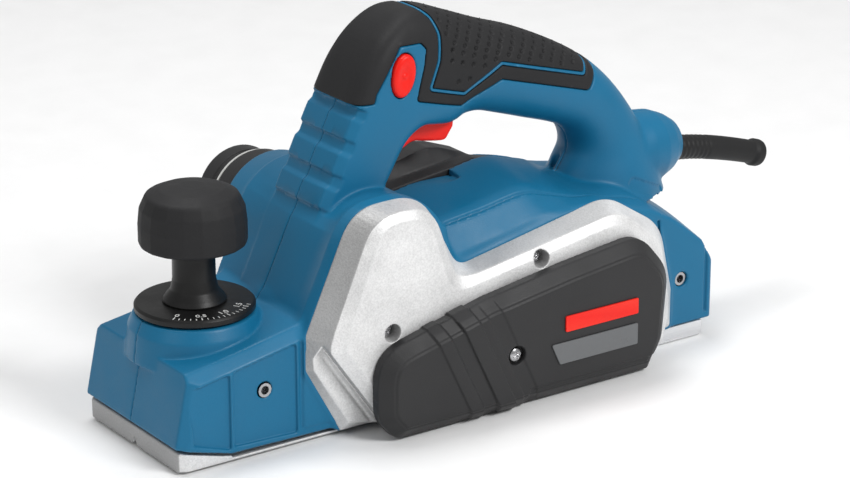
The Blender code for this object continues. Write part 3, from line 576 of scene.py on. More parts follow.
def casing():
    """The whole blue casing as one field, before it is split at the mid-plane."""
    f = Field((-4.3, -45.5, 1.0), (314.5, 62.5, 186.5), 0.78)
    f.add(body_shape())
    f.add(nose_shape(), 1.5, (-5, -50, 0), (95, 50, 62))
    duct = [
        (-43, 0), (-43, 30.7), (-42.2, 31.5), (42.4, 31.5),
        (43.4, 31.0), (59.2, 28.4), (60, 27.6), (60, 0),
    ]
    f.add(spun("Y", (DUCT[0], 0, DUCT[1]), duct), 4.0, (72, -46, 38), (158, 62, 112))
    wall = lambda x, y, z: smooth_max(front_wall(x, y, z), np.abs(y) - HALF, 0.6)
    f.add(wall, 2.5, (60, -46, 46), (146, 46, 106))
    rim = rounded(PLATE_BACK, 8)
    flange = lambda x, y, z: smooth_max(outline_distance(rim, x, z) + 0.7 + np.maximum(y + 36, 0) * 0.5,
                                        np.maximum(y + 24, -HALF - y), 0.6)
    f.add(flange, 4.0, (58, -46, 0), (280, -10, 112))
    f.add(handle_shape(), 1.6, (60, -30, 36), (307, 30, 187))
    collar = [(40, 0), (40, 32.4), (53.5, 30.6), (58.6, 28.2), (59.3, 27.4), (59.3, 0)]
    f.add(spun("Z", (KNOB_X, 0, 0), collar), 0.8, (0, -34, 38), (68, 34, 61))
    gland = [
        (262, 0), (262, 18), (287, 18.9), (295, 18.0),
        (302.5, 15.0), (308.0, 11.4), (311.4, 7.0), (312.2, 0),
    ]
    f.add(spun("X", (0, 0, CORD_Z + 4.7), gland), 1.6, (262, -30, 56), (314, 30, 114))
    soft_pockets(f)
    casing_details(f)
    hollow = lambda x, y, z: np.minimum(body_shape(SHELL, -9)(x, y, z), nose_shape(SHELL, True)(x, y, z))
    f.carve(hollow, 0.0, (-2, -46, -2), (306, 46, 96))
    openings(f)
    return f


def soft_pockets(f):
    """Sink the handle where the cap, the grip and the coloured line between them lie."""
    def pocket(x, y, z):
        return np.maximum(soft_area(x, y, z), -(handle_shape()(x, y, z) + SOFT_DEPTH))
    f.carve(pocket, 0.5, (88, -30, 122), (266, 30, 187))


# Side panels of the nose: lower front corner (x, z), then front and rear edge.
NOSE_PANELS = ((6.5, 13.5, 4.5, 25.6), (27.2, 8.2, 27.2, 60.6))


def panel_top(x):
    return 39.4 + (x - 5.2) * 0.19


def casing_details(f):
    """Grooves, panels, ridges and recesses moulded into the casing."""
    for sign in (-1, 1):
        span = (sign * HALF - 1.6, sign * HALF + 1.6)
        for foot_x, foot_z, low, high in NOSE_PANELS:
            panel = rounded([(foot_x, foot_z, 0.5), (low, panel_top(low), 1.5),
                             (high, panel_top(high), 1.5), (high, 7.0, 1.0)], 3)
            f.carve(slab(side_outline(panel), min(span), max(span)), 0.15,
                    (0, min(span) - 2.5, 0), (64, max(span) + 2.5, 56))
        groove = capsule((62.6, sign * (HALF + 0.3), 9), (62.6, sign * (HALF + 0.3), 50), 1.1)
        f.carve(groove, 0.4, (58, -46, 4), (68, 46, 54))
        rear = capsule((298.6, sign * 42.4, 13), (298.6, sign * 42.4, 48), 0.9)
        f.carve(rear, 0.4, (294, -46, 8), (303, 46, 52))
        slit = block((266.6, min(span), 57), (268.6, max(span), 66), 0.6)
        f.carve(slit, 0.3, (262, -46, 52), (272, 46, 70))
    seam = lambda x, y, z: np.maximum(np.abs(np.abs(y) - FACET_Y) - 0.5,
                                      np.abs(body_shape()(x, y, z)) - 0.8)
    f.carve(seam, 0.3, (148, -36, 60), (262, 36, 104))
    slot = block((206, 2.5, 84), (243, 8.5, 102), 1.5)
    f.carve(slot, 0.8, (200, 0, 80), (250, 12, 104))
    for sign in (-1, 1):
        low, high = sorted((sign * 8, sign * 45))
        tag = capsule((266.5, 0, 79.6), (286.5, 0, 70.4), 3.1)
        f.recess(lambda x, y, z: tag(x, 0, z), 0.9, (258, low, 60), (296, high, 90))


def oval(grow, steps=40):
    """Outline of the lock button: an upright oval leaning with the leg."""
    points = []
    lean = math.radians(12)
    for i in range(steps):
        a = 2 * math.pi * i / steps
        u, v = (6.2 + grow) * math.cos(a), (10.2 + grow) * math.sin(a)
        points.append((BUTTON[0] + u * math.cos(lean) + v * math.sin(lean),
                       BUTTON[1] - u * math.sin(lean) + v * math.cos(lean)))
    return points


def openings(f):
    """Everything that is cut right through the casing."""
    f.carve(rod("Y", (DUCT[0], 12, DUCT[1]), 24.0, 50), 0.6, (86, -46, 48), (140, 62, 102))
    f.carve(block((83.2, -41.6, -6), (140.8, 41.6, 57), 0.0), 0.0, (80, -46, -2), (143, 46, 60))
    for y, y0, y1 in ((-45, -46, -34), (45, 34, 46)):
        f.carve(rod("Y", (DRUM[0], y, DRUM[1]), 19.6, 8), 0.3, (88, y0, 4), (136, y1, 52))
    f.carve(rod("Y", (MOTOR[0], -45, MOTOR[1]), 15.0, 8), 0.3, (208, -46, 24), (248, -34, 64))
    f.carve(rod("Z", (KNOB_X, 0, 50), 5.4, 20), 0.3, (24, -10, 40), (44, 10, 62))
    f.carve(rod("X", (300, 0, CORD_Z), 7.0, 40), 0.5, (262, -12, 70), (314, 12, 98))
    f.carve(block((137, -8.9, 96), (174, 8.9, 150), 0.4), 0.5, (132, -12, 96), (178, 12, 152))
    button = oval(0.45)
    f.carve(slab(side_outline(button), -30, -8.5), 0.4, (124, -24, 142), (145, -6, 170))
    for y0, y1 in ((-46, -36), (36, 46)):
        for x, z in ((44.2, 31.1), (283.1, 32.5)):
            f.carve(rod("Y", (x, (y0 + y1) / 2, z), 3.8, 6), 0.4, (x - 7, y0, z - 7), (x + 7, y1, z + 7))
    window = rounded([(137, 86, 3), (140, 104, 4), (165, 118, 8), (206, 104, 4), (206, 62, 2),
                      (137, 62, 2)], 3)
    f.carve(slab(side_outline(window), 0.4, 46), 0.0, (134, 0, 58), (208, 46, 112))
    for i in range(5):
        x = 209.5 + 9 * i
        f.carve(block((x - 1.6, 36, 26), (x + 1.6, 50, 60), 1.4), 0.8, (x - 4, 36, 22), (x + 4, 46, 64))


HALF_GAP = 0.06               # each casing half stops this far from the mid-plane


def half_of(f, name, side):
    """One half of the casing, cut a hair short of the mid-plane."""
    line = f.lines[1]
    first, last = (int(np.searchsorted(line, y)) for y in (-2.5, 2.5))
    part = slice(0, last) if side < 0 else slice(first, None)
    half = Field((0, 0, 0), (1, 1, 1), f.step)
    half.lines = [f.lines[0], line[part], f.lines[2]]
    half.low = np.array([l[0] for l in half.lines])
    half.value = f.value[:, part, :].copy()
    half.keep(lambda x, y, z: -side * y + HALF_GAP)
    return from_field(name, half, 0.5)


# ------------------------------------------------------------------ soft pieces
def soft_pieces():
    """Cap with its border, the coloured line and the dimpled grip panel."""
    low, high, step = (92, -22.4, 128), (256, 22.4, 186.4), 0.5
    base = Field(low, high, step)
    base.add(handle_shape(ribs=False))
    core = base.value
    made = []
    areas = {
        "cap_and_border": lambda x, y, z: np.maximum(soft_area(x, y, z) + 0.28,
                                                     -(panel_area(x, y, z) - LINE_WIDTH / 2 - 0.22)),
        "accent_line": lambda x, y, z: np.abs(panel_area(x, y, z)) - LINE_WIDTH / 2,
        "grip_panel": lambda x, y, z: panel_area(x, y, z) + LINE_WIDTH / 2 + 0.22,
    }
    for name, area in areas.items():
        f = Field(low, high, step)
        sunk, rounding = (0.35, 0.65) if name == "accent_line" else (0.0, 0.9)
        f.value = core + sunk
        f.keep(area, rounding)
        if name == "cap_and_border":
            f.carve(slab(side_outline(oval(0.6)), -30, 0), 0.3, (120, -24, 140), (150, 0, 172))
        if name == "grip_panel":
            for spot in dimples():
                f.carve(ball(spot, 1.25), 0.35, spot - 3, spot + 3)
                f.add(ball(spot - (0, np.sign(spot[1]) * 0.1, 0), 0.42), 0.2, spot - 1.6, spot + 1.6)
        f.value = np.maximum(f.value, -(core + SOFT_DEPTH - 0.2))
        made.append(from_field(name, f, 0.6))
    return made


def dimples():
    """Centres of the grip's dimples, in staggered rows on both sides and over the top."""
    spots = []
    first, last = 7.0 * HANDLE_STEPS, 14.2 * HANDLE_STEPS
    rows = [math.radians(a) for a in (9, 25, 38, 49, 59, 68, 77, 86, 96)]
    for side in (-1, 1):
        for k, turn in enumerate(rows):
            travel = 0.0 if k % 2 else 3.3
            previous = None
            gone = 0.0
            for row in np.arange(first, last, 0.25):
                point = handle_point(row, side * turn)
                if previous is not None:
                    gone += np.linalg.norm(point - previous)
                previous = point
                if gone >= travel:
                    travel += 6.6
                    if panel_area(*point) < -3.2:
                        spots.append(point + np.array((0, side, 0)) * 0.25)
    return spots


def duct_cover():
    """Grey cover on the right of the crown, a flat strip rising into a dome."""
    f = Field((134, -1.5, 58), (209, 45, 112), 0.6)
    def top(x, y):
        strip = np.interp(x, (137, 143, 190, 211), (93.2, 95.2, 101.0, 96.0)) - 0.2
        dome = np.interp(x, (137, 143, 152, 164, 171, 178, 192, 206),
                         (93.5, 97, 102.5, 105.5, 106.2, 105, 100, 91.5))
        blend = np.clip((y - 9.5) / 3.5, 0, 1)
        fall = np.maximum(y - 24, 0) ** 2 * 0.045
        return strip * (1 - blend) + (dome - fall) * blend - (1 - blend) * np.maximum(y, 0) * 0.05
    f.add(lambda x, y, z: (z - top(x, y)) * 0.8)
    f.keep(lambda x, y, z: np.maximum(0.6 - y, y - 42.9), 1.2)
    f.keep(lambda x, y, z: np.maximum(137 - x, x - 205.6), 1.5)
    f.keep(lambda x, y, z: 63.2 - z, 0.5)
    hollow = lambda x, y, z: np.maximum((z - top(x, y) + 2.6) * 0.8, np.maximum(140 - x, x - 203))
    f.carve(hollow, 0.0, (139, 3.4, 50), (204, 40.4, 110))
    f.carve(rod("Y", (DUCT[0], 12, DUCT[1]), 31.9, 60), 0.3)
    f.carve(rod("Y", (171, 44, 78), 22.0, 2.2), 0.8)
    return from_field("duct_cover_shell", f, 0.5)


# ------------------------------------------------------------------- cast plate
PLATE_FACE = [
    (105, 2, 1), (73.5, 46, 5), (75.0, 56, 4), (95, 106, 18), (125, 106.5, 22), (138, 66, 8),
    (234, 81, 22), (257, 60, 22), (262, 30, 6), (262, 9.5, 3),
]
PLATE_Y = (-43.3, -58.0)
SCREW_RADIUS = 3.5
COVER_SCREW = (164.4, 28.6)   # screw centres, X and Z
PLATE_SCREWS = ((102.3, 50.3), (185.9, 68.1))


def side_plate():
    """Drafted casting: bevelled face, stepped lower corner and two screw wells."""
    f = Field((61, -59.4, 1.0), (278, -42.2, 110), 0.52)
    back, face = rounded(PLATE_BACK, 8), rounded(PLATE_FACE, 8)
    depth = PLATE_Y[0] - PLATE_Y[1]
    def body(x, y, z):
        wide = outline_distance(back, x, z)
        tight = outline_distance(face, x, z)
        height = (PLATE_Y[0] - y) / depth
        wall = wide + (tight - wide) * np.clip(height, 0, 1)
        value = np.maximum(wall * 0.85, PLATE_Y[1] - y)
        bevel = tight * 0.5 + (PLATE_Y[1] - y) * 0.866 + 2.0
        return smooth_max(smooth_max(value, bevel, 0.25), y - PLATE_Y[0], 0.2)
    f.add(body)
    step_line = (np.array((66.0, 47.0)), np.array((99.0, 0.0)))
    along = (step_line[1] - step_line[0]) / np.linalg.norm(step_line[1] - step_line[0])
    inward = np.array((-along[1], along[0]))
    def foot(x, y, z):
        px, pz = x - step_line[0][0], z - step_line[0][1]
        inside = px * inward[0] + pz * inward[1]
        down = px * along[0] + pz * along[1]
        ledge = -47.2 - np.clip(down, 0, 60) * 0.02 - np.clip(4 - down, 0, 20) * 0.9
        wall = inside - 4.2 + (y + 50) * -0.18
        return np.maximum(np.maximum(wall, y - ledge), 0 - down - 14)
    f.carve(foot, 0.7, (61, -60, 0), (108, -42, 58))
    groove = capsule((72.0, -48.0, 41.5), (100.5, -48.6, 0.0), 0.9)
    f.carve(groove, 0.5, (66, -52, 0), (104, -44, 48))
    for x, z in PLATE_SCREWS:
        f.carve(rod("Y", (x, -58, z), 4.3, 7.0), 0.5, (x - 8, -60, z - 8), (x + 8, -46, z + 8))
    for x, z in (DRUM, MOTOR):
        f.carve(rod("Y", (x, -50, z), 14.6, 12), 0.3, (x - 20, -60, z - 20), (x + 20, -40, z + 20))
    return from_field("side_plate_casting", f, 0.5)


# ------------------------------------------------------------------- belt cover
COVER = [(90.5, 43.5, 20), (90.5, 12, 16), (100, 0.9, 8), (247, 0.9, 2), (254.5, 16, 14), (257.5, 50, 22),
         (240, 70.5, 18), (196, 65.2, 30), (150, 58, 10)]
COVER_BANDS = ((127.5, 8.0, 0.9), (143.0, 10.5, 1.3), (158.5, 9.0, -0.6))
RIB_LEAN = math.tan(math.radians(25.5))


def belt_cover():
    """Moulded cover: bevelled rim, raised field, slanted bands and a lower ledge."""
    f = Field((82, -70.8, 0.2), (258.8, -57.6, 76.5), 0.5)
    rim = rounded(COVER, 8)
    def top(x, z):
        edge = outline_distance(rim, x, z)
        slant = x + (z - 28) * RIB_LEAN
        lifts = [lift * np.clip((width / 2 - np.abs(slant - first - width / 2)) / 0.5, 0, 1)
                 for first, width, lift in COVER_BANDS]
        edge = edge - 0.7 * np.maximum(lifts[0], lifts[1])
        bevel = np.clip(-edge / 5.4, 0, 1) * 5.0
        field = np.clip((-edge - 6.2) / 0.8, 0, 1) * 0.9
        height = 63.2 + bevel + field + sum(lifts) * np.clip(-edge / 3, 0, 1)
        ledge = np.clip((10.5 - z) / 1.0, 0, 1) * np.clip((x - 172) / 1.2, 0, 1)
        return edge, height - 1.1 * ledge
    def body(x, y, z):
        edge, high = top(x, z)
        value = smooth_max(edge, (-y - high) * 0.8, 0.4)
        return smooth_max(value, y + 58.5, 0.2)
    f.add(body)
    line = capsule((172.0, -70.0, 12.4), (252.5, -70.0, 14.6), 0.75)
    f.carve(line, 0.3, (168, -71, 9), (256, -66, 18))
    for start in (126.5, 153.6, 168.6):
        low_end = (start - (6 - 28) * RIB_LEAN, -70.0, 6)
        high_end = (start - (54 - 28) * RIB_LEAN, -70.0, 54)
        f.carve(capsule(low_end, high_end, 0.75), 0.15, (96, -71, 2), (190, -66, 64))
    f.carve(slab(lambda x, y, z: outline_distance(rim, x, z) + 7.5, -66.0, -57), 0.3)
    x, z = COVER_SCREW
    well = rod("Y", (x, -69, z), 4.5, 3.4), 0.5, (156, -71, 20), (172, -60, 37)
    f.carve(*well)
    f.add(rod("Y", (x, -62.6, z), 6.2, 3.2), 0.5, (154, -71, 18), (175, -57, 39))
    f.carve(*well)
    return from_field("belt_cover_shell", f, 0.6)


# --------------------------------------------------------------- trigger, button
def trigger():
    f = Field((136, -9.2, 112), (175, 9.2, 143), 0.5)
    outline = rounded([(141, 115.2, 1.5), (148, 119.2, 8), (166.5, 115.4, 4), (171.5, 122.5, 3),
                       (171.6, 131, 2), (158, 134, 3), (153, 141, 3), (145.5, 141, 3), (143.0, 131, 5),
                       (140.8, 123.5, 4)])
    f.add(side_outline(outline))
    f.keep(lambda x, y, z: np.abs(y) - 8.2, 2.4)
    f.carve(capsule((143.5, 0, 104.5), (166, 0, 104.5), 13.2), 2.0)
    f.carve(rod("Y", (149, 0, 137), 2.4, 12), 0.3)
    return from_field("trigger_lever", f, 0.6)


def lock_button():
    f = Field((124, -24, 142), (145, -13.4, 171), 0.35)
    f.add(slab(side_outline(oval(0.0)), -22.4, -14))
    f.keep(lambda x, y, z: outline_distance(oval(0.0), x, z) * 0.7 + (-22.6 - y) * 0.7 + 0.9, 0.8)
    def bowl(x, y, z):
        return np.sqrt((x - BUTTON[0]) ** 2 * 1.9 + (y + 31.0) ** 2 + (z - BUTTON[1]) ** 2 * 0.75) - 9.6
    f.carve(bowl, 0.8)
    f.add(ball((BUTTON[0], -20.6, BUTTON[1]), 1.7), 0.8)
    return from_field("lock_button_cap", f, 0.7)


# ------------------------------------------------------------------ turned work
def ring_faces(steps, count):
    """Quads of a closed ring of sections, each a closed loop of count points."""
    faces = []
    for i in range(steps):
        j = (i + 1) % steps
        for k in range(count):
            m = (k + 1) % count
            faces.append((i * count + k, j * count + k, j * count + m, i * count + m))
    return faces


def turned(name, axis, centre, profile, steps=96, shape=None):
    """Closed profile of (along, radius) points spun about an axis; points on the axis are joined."""
    axes = {
        "X": ((0, 1, 0), (0, 0, 1), (1, 0, 0)),
        "Y": ((0, 0, 1), (1, 0, 0), (0, 1, 0)),
        "Z": ((1, 0, 0), (0, 1, 0), (0, 0, 1)),
    }
    side, up, along = (np.array(v, float) for v in axes[axis])
    points = []
    for i in range(steps):
        angle = 2 * math.pi * i / steps
        spoke = side * math.cos(angle) + up * math.sin(angle)
        for distance, radius in profile:
            scale = shape(angle, distance, radius) if shape else 1.0
            points.append(np.array(centre, float) + along * distance + spoke * max(radius, 0.002) * scale)
    obj = mesh_object(name, points, ring_faces(steps, len(profile)))
    bm = bmesh.new()
    bm.from_mesh(obj.data)
    bmesh.ops.remove_doubles(bm, verts=bm.verts, dist=0.00001)
    bmesh.ops.recalc_face_normals(bm, faces=bm.faces)
    bm.to_mesh(obj.data)
    bm.free()
    obj.data.shade_smooth()
    obj.data.set_sharp_from_angle(angle=math.radians(40))
    return obj


def depth_parts():
    """Dial, stem and ribbed knob of the depth adjuster."""
    centre = (KNOB_X, 0, 0)
    dial = turned("dial_disc", "Z", centre, rounded([
        (60.0, 5.0, 0.1), (60.0, 26.8, 0.4), (60.5, 27.6, 0.3), (62.6, 27.6, 0.4), (63.7, 26.6, 0.4),
        (63.7, 5.0, 0.1)], 3), 144)
    stem = turned("knob_stem_turned", "Z", centre, rounded([
        (63.9, 0, 0), (63.9, 14.4, 0.3), (64.6, 14.6, 0.4), (66.4, 13.4, 2), (69.5, 10.9, 3), (74.5, 9.9, 3),
        (84.0, 9.8, 1), (98, 9.8, 0.3), (98, 0, 0)], 4), 96)
    def flats(angle, distance, radius):
        if radius < 12 or distance > 117:
            return 1.0
        half = math.pi / 18
        local = (angle + half) % (2 * half) - half
        flat = math.cos(half) / math.cos(local)
        fade = min(1, max(0, (117 - distance) / 5)) * min(1, max(0, (radius - 17) / 4))
        return 1 + (flat - 1) * fade * 0.6
    knob = turned("depth_knob_grip", "Z", centre, rounded([
        (98.3, 0, 0), (98.3, 10.3, 0.2), (95.0, 10.3, 0.4), (92.6, 16.4, 1.5), (90.9, 20.4, 2.0),
        (90.9, 24.6, 4.0), (101, 24.6, 6), (108.5, 23.8, 5), (114.2, 21.2, 4.5), (117.0, 14.5, 5),
        (118.15, 6, 3), (118.2, 0, 0)], 6), 360, flats)
    return dial, stem, knob


MARK_FIRST, MARK_PITCH = 107.6, 5.863    # angle of the first tick and between two, in degrees


def mark_angle(i):
    """Angle of the i-th tick about the knob, counted clockwise from the camera's right."""
    return math.radians(-35 - (MARK_FIRST - MARK_PITCH * i))


def dial_marks():
    """White ticks and generic numbers on the dial's top."""
    pieces = []
    top = 63.72
    points, faces = [], []
    for i in range(17):
        angle = mark_angle(i)
        inner = 23.6 if i % 5 == 0 else 24.4
        out = np.array((math.cos(angle), math.sin(angle)))
        across = np.array((-out[1], out[0])) * (0.26 if i % 5 == 0 else 0.2)
        base = len(points)
        for z in (top - 0.1, top + 0.04):
            for r, s in ((inner, -1), (26.2, -1), (26.2, 1), (inner, 1)):
                spot = out * r + across * s
                points.append((KNOB_X + spot[0], spot[1], z))
        quads = ((4, 5, 6, 7), (3, 2, 1, 0), (0, 1, 5, 4), (1, 2, 6, 5), (2, 3, 7, 6), (3, 0, 4, 7))
        faces += [tuple(base + q for q in quad) for quad in quads]
    ticks = mesh_object("dial_ticks", points, faces)
    ticks.data.shade_flat()
    pieces.append(ticks)
    for i, label in ((0, "0"), (5, "0.5"), (10, "1.0"), (15, "1.5")):
        angle = mark_angle(i)
        curve = bpy.data.curves.new("dial_number_%d" % i, "FONT")
        curve.body = label
        curve.align_x = "CENTER"
        curve.align_y = "CENTER"
        curve.size = 4.2 * MM
        curve.extrude = 0.05 * MM
        curve.offset = 0.05 * MM
        text = link_new("dial_number_%d" % i, curve)
        spot = Vector((KNOB_X + 21.2 * math.cos(angle), 21.2 * math.sin(angle), top)) - ORIGIN
        text.matrix_world = Matrix.Translation(spot * MM) @ Matrix.Rotation(angle + math.pi / 2, 4, "Z")
        pieces.append(text)
    return pieces


def outlet_parts():
    """Stepped chip outlet: collar, light ring and tube, open right through."""
    centre = (DUCT[0], 0, DUCT[1])
    collar = turned("outlet_collar", "Y", centre, rounded([
        (60.3, 21.0, 0.2), (60.3, 25.6, 0.6), (73.6, 25.0, 0.8), (75.0, 23.6, 0.6),
        (75.0, 21.0, 0.2)], 4), 128)
    ring = turned("outlet_ring", "Y", centre, rounded([
        (75.3, 20.5, 0.1), (75.3, 24.2, 0.3), (76.7, 24.2, 0.3), (76.7, 20.5, 0.1)], 4), 128)
    tube = turned("outlet_tube", "Y", centre, rounded([
        (77.0, 20.2, 0.2), (77.0, 22.4, 0.2), (80.0, 22.4, 0.3), (80.5, 21.9, 0.3), (82.5, 21.9, 0.3),
        (83.0, 22.4, 0.3), (91.2, 22.4, 0.8), (92.0, 21.5, 0.5), (92.0, 20.4, 0.4)], 4), 128)
    return collar, ring, tube


def bend_sleeve():
    """Rubber sleeve with shallow rings, drooping to its lipped open end."""
    length, start = 79.0, 288.0
    def centre(t):
        return np.array((start + length * t, 0, CORD_Z - 13.3 * max((t - 0.28) / 0.72, 0) ** 1.4))
    outer = []
    stations = np.linspace(0, 1, 120)
    for t in stations:
        radius = np.interp(t, (0, 0.28, 0.92, 0.93, 0.945, 0.985, 1), (6.4, 6.3, 5.95, 6.0, 7.0, 7.0, 6.6))
        if 0.3 < t < 0.55:
            radius -= 0.35 * (0.5 - 0.5 * math.cos((t - 0.3) / 0.25 * 2 * math.pi * 7))
        outer.append((t, radius))
    loop = outer + [(1.0, 5.0), (0.99, 3.3), (0.97, 2.8), (0.5, 2.8), (0.0, 2.8)]
    steps = 48
    points = []
    for i in range(steps):
        a = 2 * math.pi * i / steps
        for t, radius in loop:
            ahead = centre(min(t + 0.01, 1.02)) - centre(t - 0.01)
            ahead = ahead / np.linalg.norm(ahead)
            up = np.array((-ahead[2], 0, ahead[0]))
            points.append(centre(t) + np.array((0, 1, 0)) * radius * math.cos(a) + up * radius * math.sin(a))
    faces = [(p, s, r, q) for p, q, r, s in ring_faces(steps, len(loop))]
    obj = mesh_object("bend_sleeve", points, faces)
    obj.data.set_sharp_from_angle(angle=math.radians(40))
    return obj


def recessed_screw(name, x, z, face_y):
    """Pan head with a bevelled rim and a cross recess, in a small field of its own."""
    radius = SCREW_RADIUS
    low = (x - radius - 1, face_y - 3.2, z - radius - 1)
    high = (x + radius + 1, face_y + 1.6, z + radius + 1)
    f = Field(low, high, 0.16)
    f.add(ball((x, face_y + 3.4, z), 5.6))
    f.keep(rod("Y", (x, face_y, z), radius, 2.4), 0.4)
    f.keep(lambda a, y, c: y - (face_y + 0.9), 0.1)
    for turn in (0.35, 0.35 + math.pi / 2):
        dx, dz = math.cos(turn) * radius * 0.62, math.sin(turn) * radius * 0.62
        for share, rise, r in ((1.0, 2.3, 0.55), (0.6, 1.7, 0.5)):
            ends = [(x + s * dx * share, face_y - rise, z + s * dz * share) for s in (-1, 1)]
            f.carve(capsule(*ends, r), 0.15)
    return from_field(name, f)


# ------------------------------------------------------------------- soles, drum
def bevelled(name, outline, y0, y1, width, segments=2):
    """Side outline extruded along Y, all edges bevelled."""
    count = len(outline)
    bm = bmesh.new()
    rings = [[bm.verts.new((Vector((x, y, z)) - ORIGIN) * MM) for x, z in outline] for y in (y0, y1)]
    for i in range(count):
        j = (i + 1) % count
        bm.faces.new((rings[0][i], rings[0][j], rings[1][j], rings[1][i]))
    bm.faces.new(rings[0])
    bm.faces.new(rings[1])
    bmesh.ops.recalc_face_normals(bm, faces=bm.faces)
    mesh = bpy.data.meshes.new(name)
    bm.to_mesh(mesh)
    bm.free()
    obj = link_new(name, mesh)
    bevel = obj.modifiers.new("bevel", "BEVEL")
    bevel.width = width * MM
    bevel.segments = segments
    bevel.limit_method = "ANGLE"
    bevel.angle_limit = math.radians(25)
    mesh.shade_smooth()
    mesh.set_sharp_from_angle(angle=math.radians(50))
    return obj


def front_shoe():
    """Cast shoe: leaning front lip, chipped corners, V-groove and deck."""
    f = Field((-1.0, -42, 0.4), (86, 42, 22.6), 0.6)
    lift = SHOE_LIFT
    side = [(0.2, lift), (84, lift), (84, lift + 1.3), (27, lift + 1.3), (27, lift + 2.4), (22, lift + 3.4),
            (0.8, lift + 9.4), (0.1, lift + 8.8)]
    f.add(slab(side_outline(side), -SOLE_HALF, SOLE_HALF))
    f.add(block((5, -36, lift + 0.8), (80, 36, 8.5), 0.6), 0.3)
    f.keep(lambda x, y, z: -(0.454 * x - 0.891 * (np.abs(y) - 38.9)), 0.4)
    f.keep(lambda x, y, z: np.abs(y) - SOLE_HALF, 0.5)
    groove = [(-3.7, -3), (3.7, -3), (0.6, lift + 3.3), (-0.6, lift + 3.3)]
    f.carve(lambda x, y, z: outline_distance(groove, y, z), 0.3)
    f.add(rod("Z", (KNOB_X, 0, 14), 8.6, 7.8), 1.0)
    f.carve(rod("Z", (KNOB_X, 0, 14), 4.5, 9.0), 0.2, (24, -8, 6), (44, 8, 23))
    return from_field("front_shoe_cast", f, 0.5)


def rear_sole():
    """Rear sole plate with its rounded chip chamber wall."""
    outline = [(137, 0), (297.4, 0), (298.5, 1.2), (298.5, 7.2), (297.8, 8), (137, 8)]
    sole = bevelled("rear_sole_plate", outline, -SOLE_HALF, SOLE_HALF, 0.4)
    wall = arc(DRUM[0], DRUM[1], 34.0, -30, 62, 24) + arc(DRUM[0], DRUM[1], 30.8, 62, -30, 24)
    chamber = bevelled("chamber_wall", wall, -37.5, 37.5, 0.3, 1)
    return sole, chamber


def cutter_parts():
    """Drum body with two clamping slots, made fine enough to look round."""
    f = Field((85, -41.4, 1), (139, 41.4, 55), 0.8)
    f.add(rod("Y", (DRUM[0], 0, DRUM[1]), 25.0, 40.6))
    f.keep(rod("Y", (DRUM[0], 0, DRUM[1]), 25.0, 40.6), 0.8)
    f.carve(rod("Y", (DRUM[0], 0, DRUM[1]), 7.9, 44), 0.2)
    for sign in (1, -1):
        slot = [(DRUM[0] - sign * 2.7, DRUM[1] + sign * 9.7), (DRUM[0] + sign * 13.3, DRUM[1] + sign * 9.7),
                (DRUM[0] + sign * 15.4, DRUM[1] + sign * 30), (DRUM[0] - sign * 4.0, DRUM[1] + sign * 30)]
        f.carve(side_outline(slot), 0.4)
        relief = [(DRUM[0] - sign * 9, y, DRUM[1] + sign * 26) for y in (-50, 50)]
        f.carve(capsule(*relief, 4), 0.6)
    return from_field("drum_body", f, 0.5)


# -------------------------------------------------------------------- materials
def new_material(name, colour, rough, metal=0.0):
    mat = bpy.data.materials.new(name)
    mat.use_nodes = True
    tree = mat.node_tree
    shader = tree.nodes["Principled BSDF"]
    shader.inputs["Base Color"].default_value = (*colour, 1)
    shader.inputs["Roughness"].default_value = rough
    shader.inputs["Metallic"].default_value = metal
    shader.inputs["Specular IOR Level"].default_value = 0.5 if metal else 0.28
    return mat, tree, shader


def add_node(tree, kind, **settings):
    node = tree.nodes.new(kind)
    for key, value in settings.items():
        if key in node.inputs:
            node.inputs[key].default_value = value
        else:
            setattr(node, key, value)
    return node


def ranged(tree, source, low, high, to_low=0.0, to_high=1.0):
    """Output of a node that maps the source from one range to another."""
    node = add_node(tree, "ShaderNodeMapRange")
    for key, value in (("From Min", low), ("From Max", high), ("To Min", to_low), ("To Max", to_high)):
        node.inputs[key].default_value = value
    tree.links.new(source, node.inputs["Value"])
    return node.outputs["Result"]


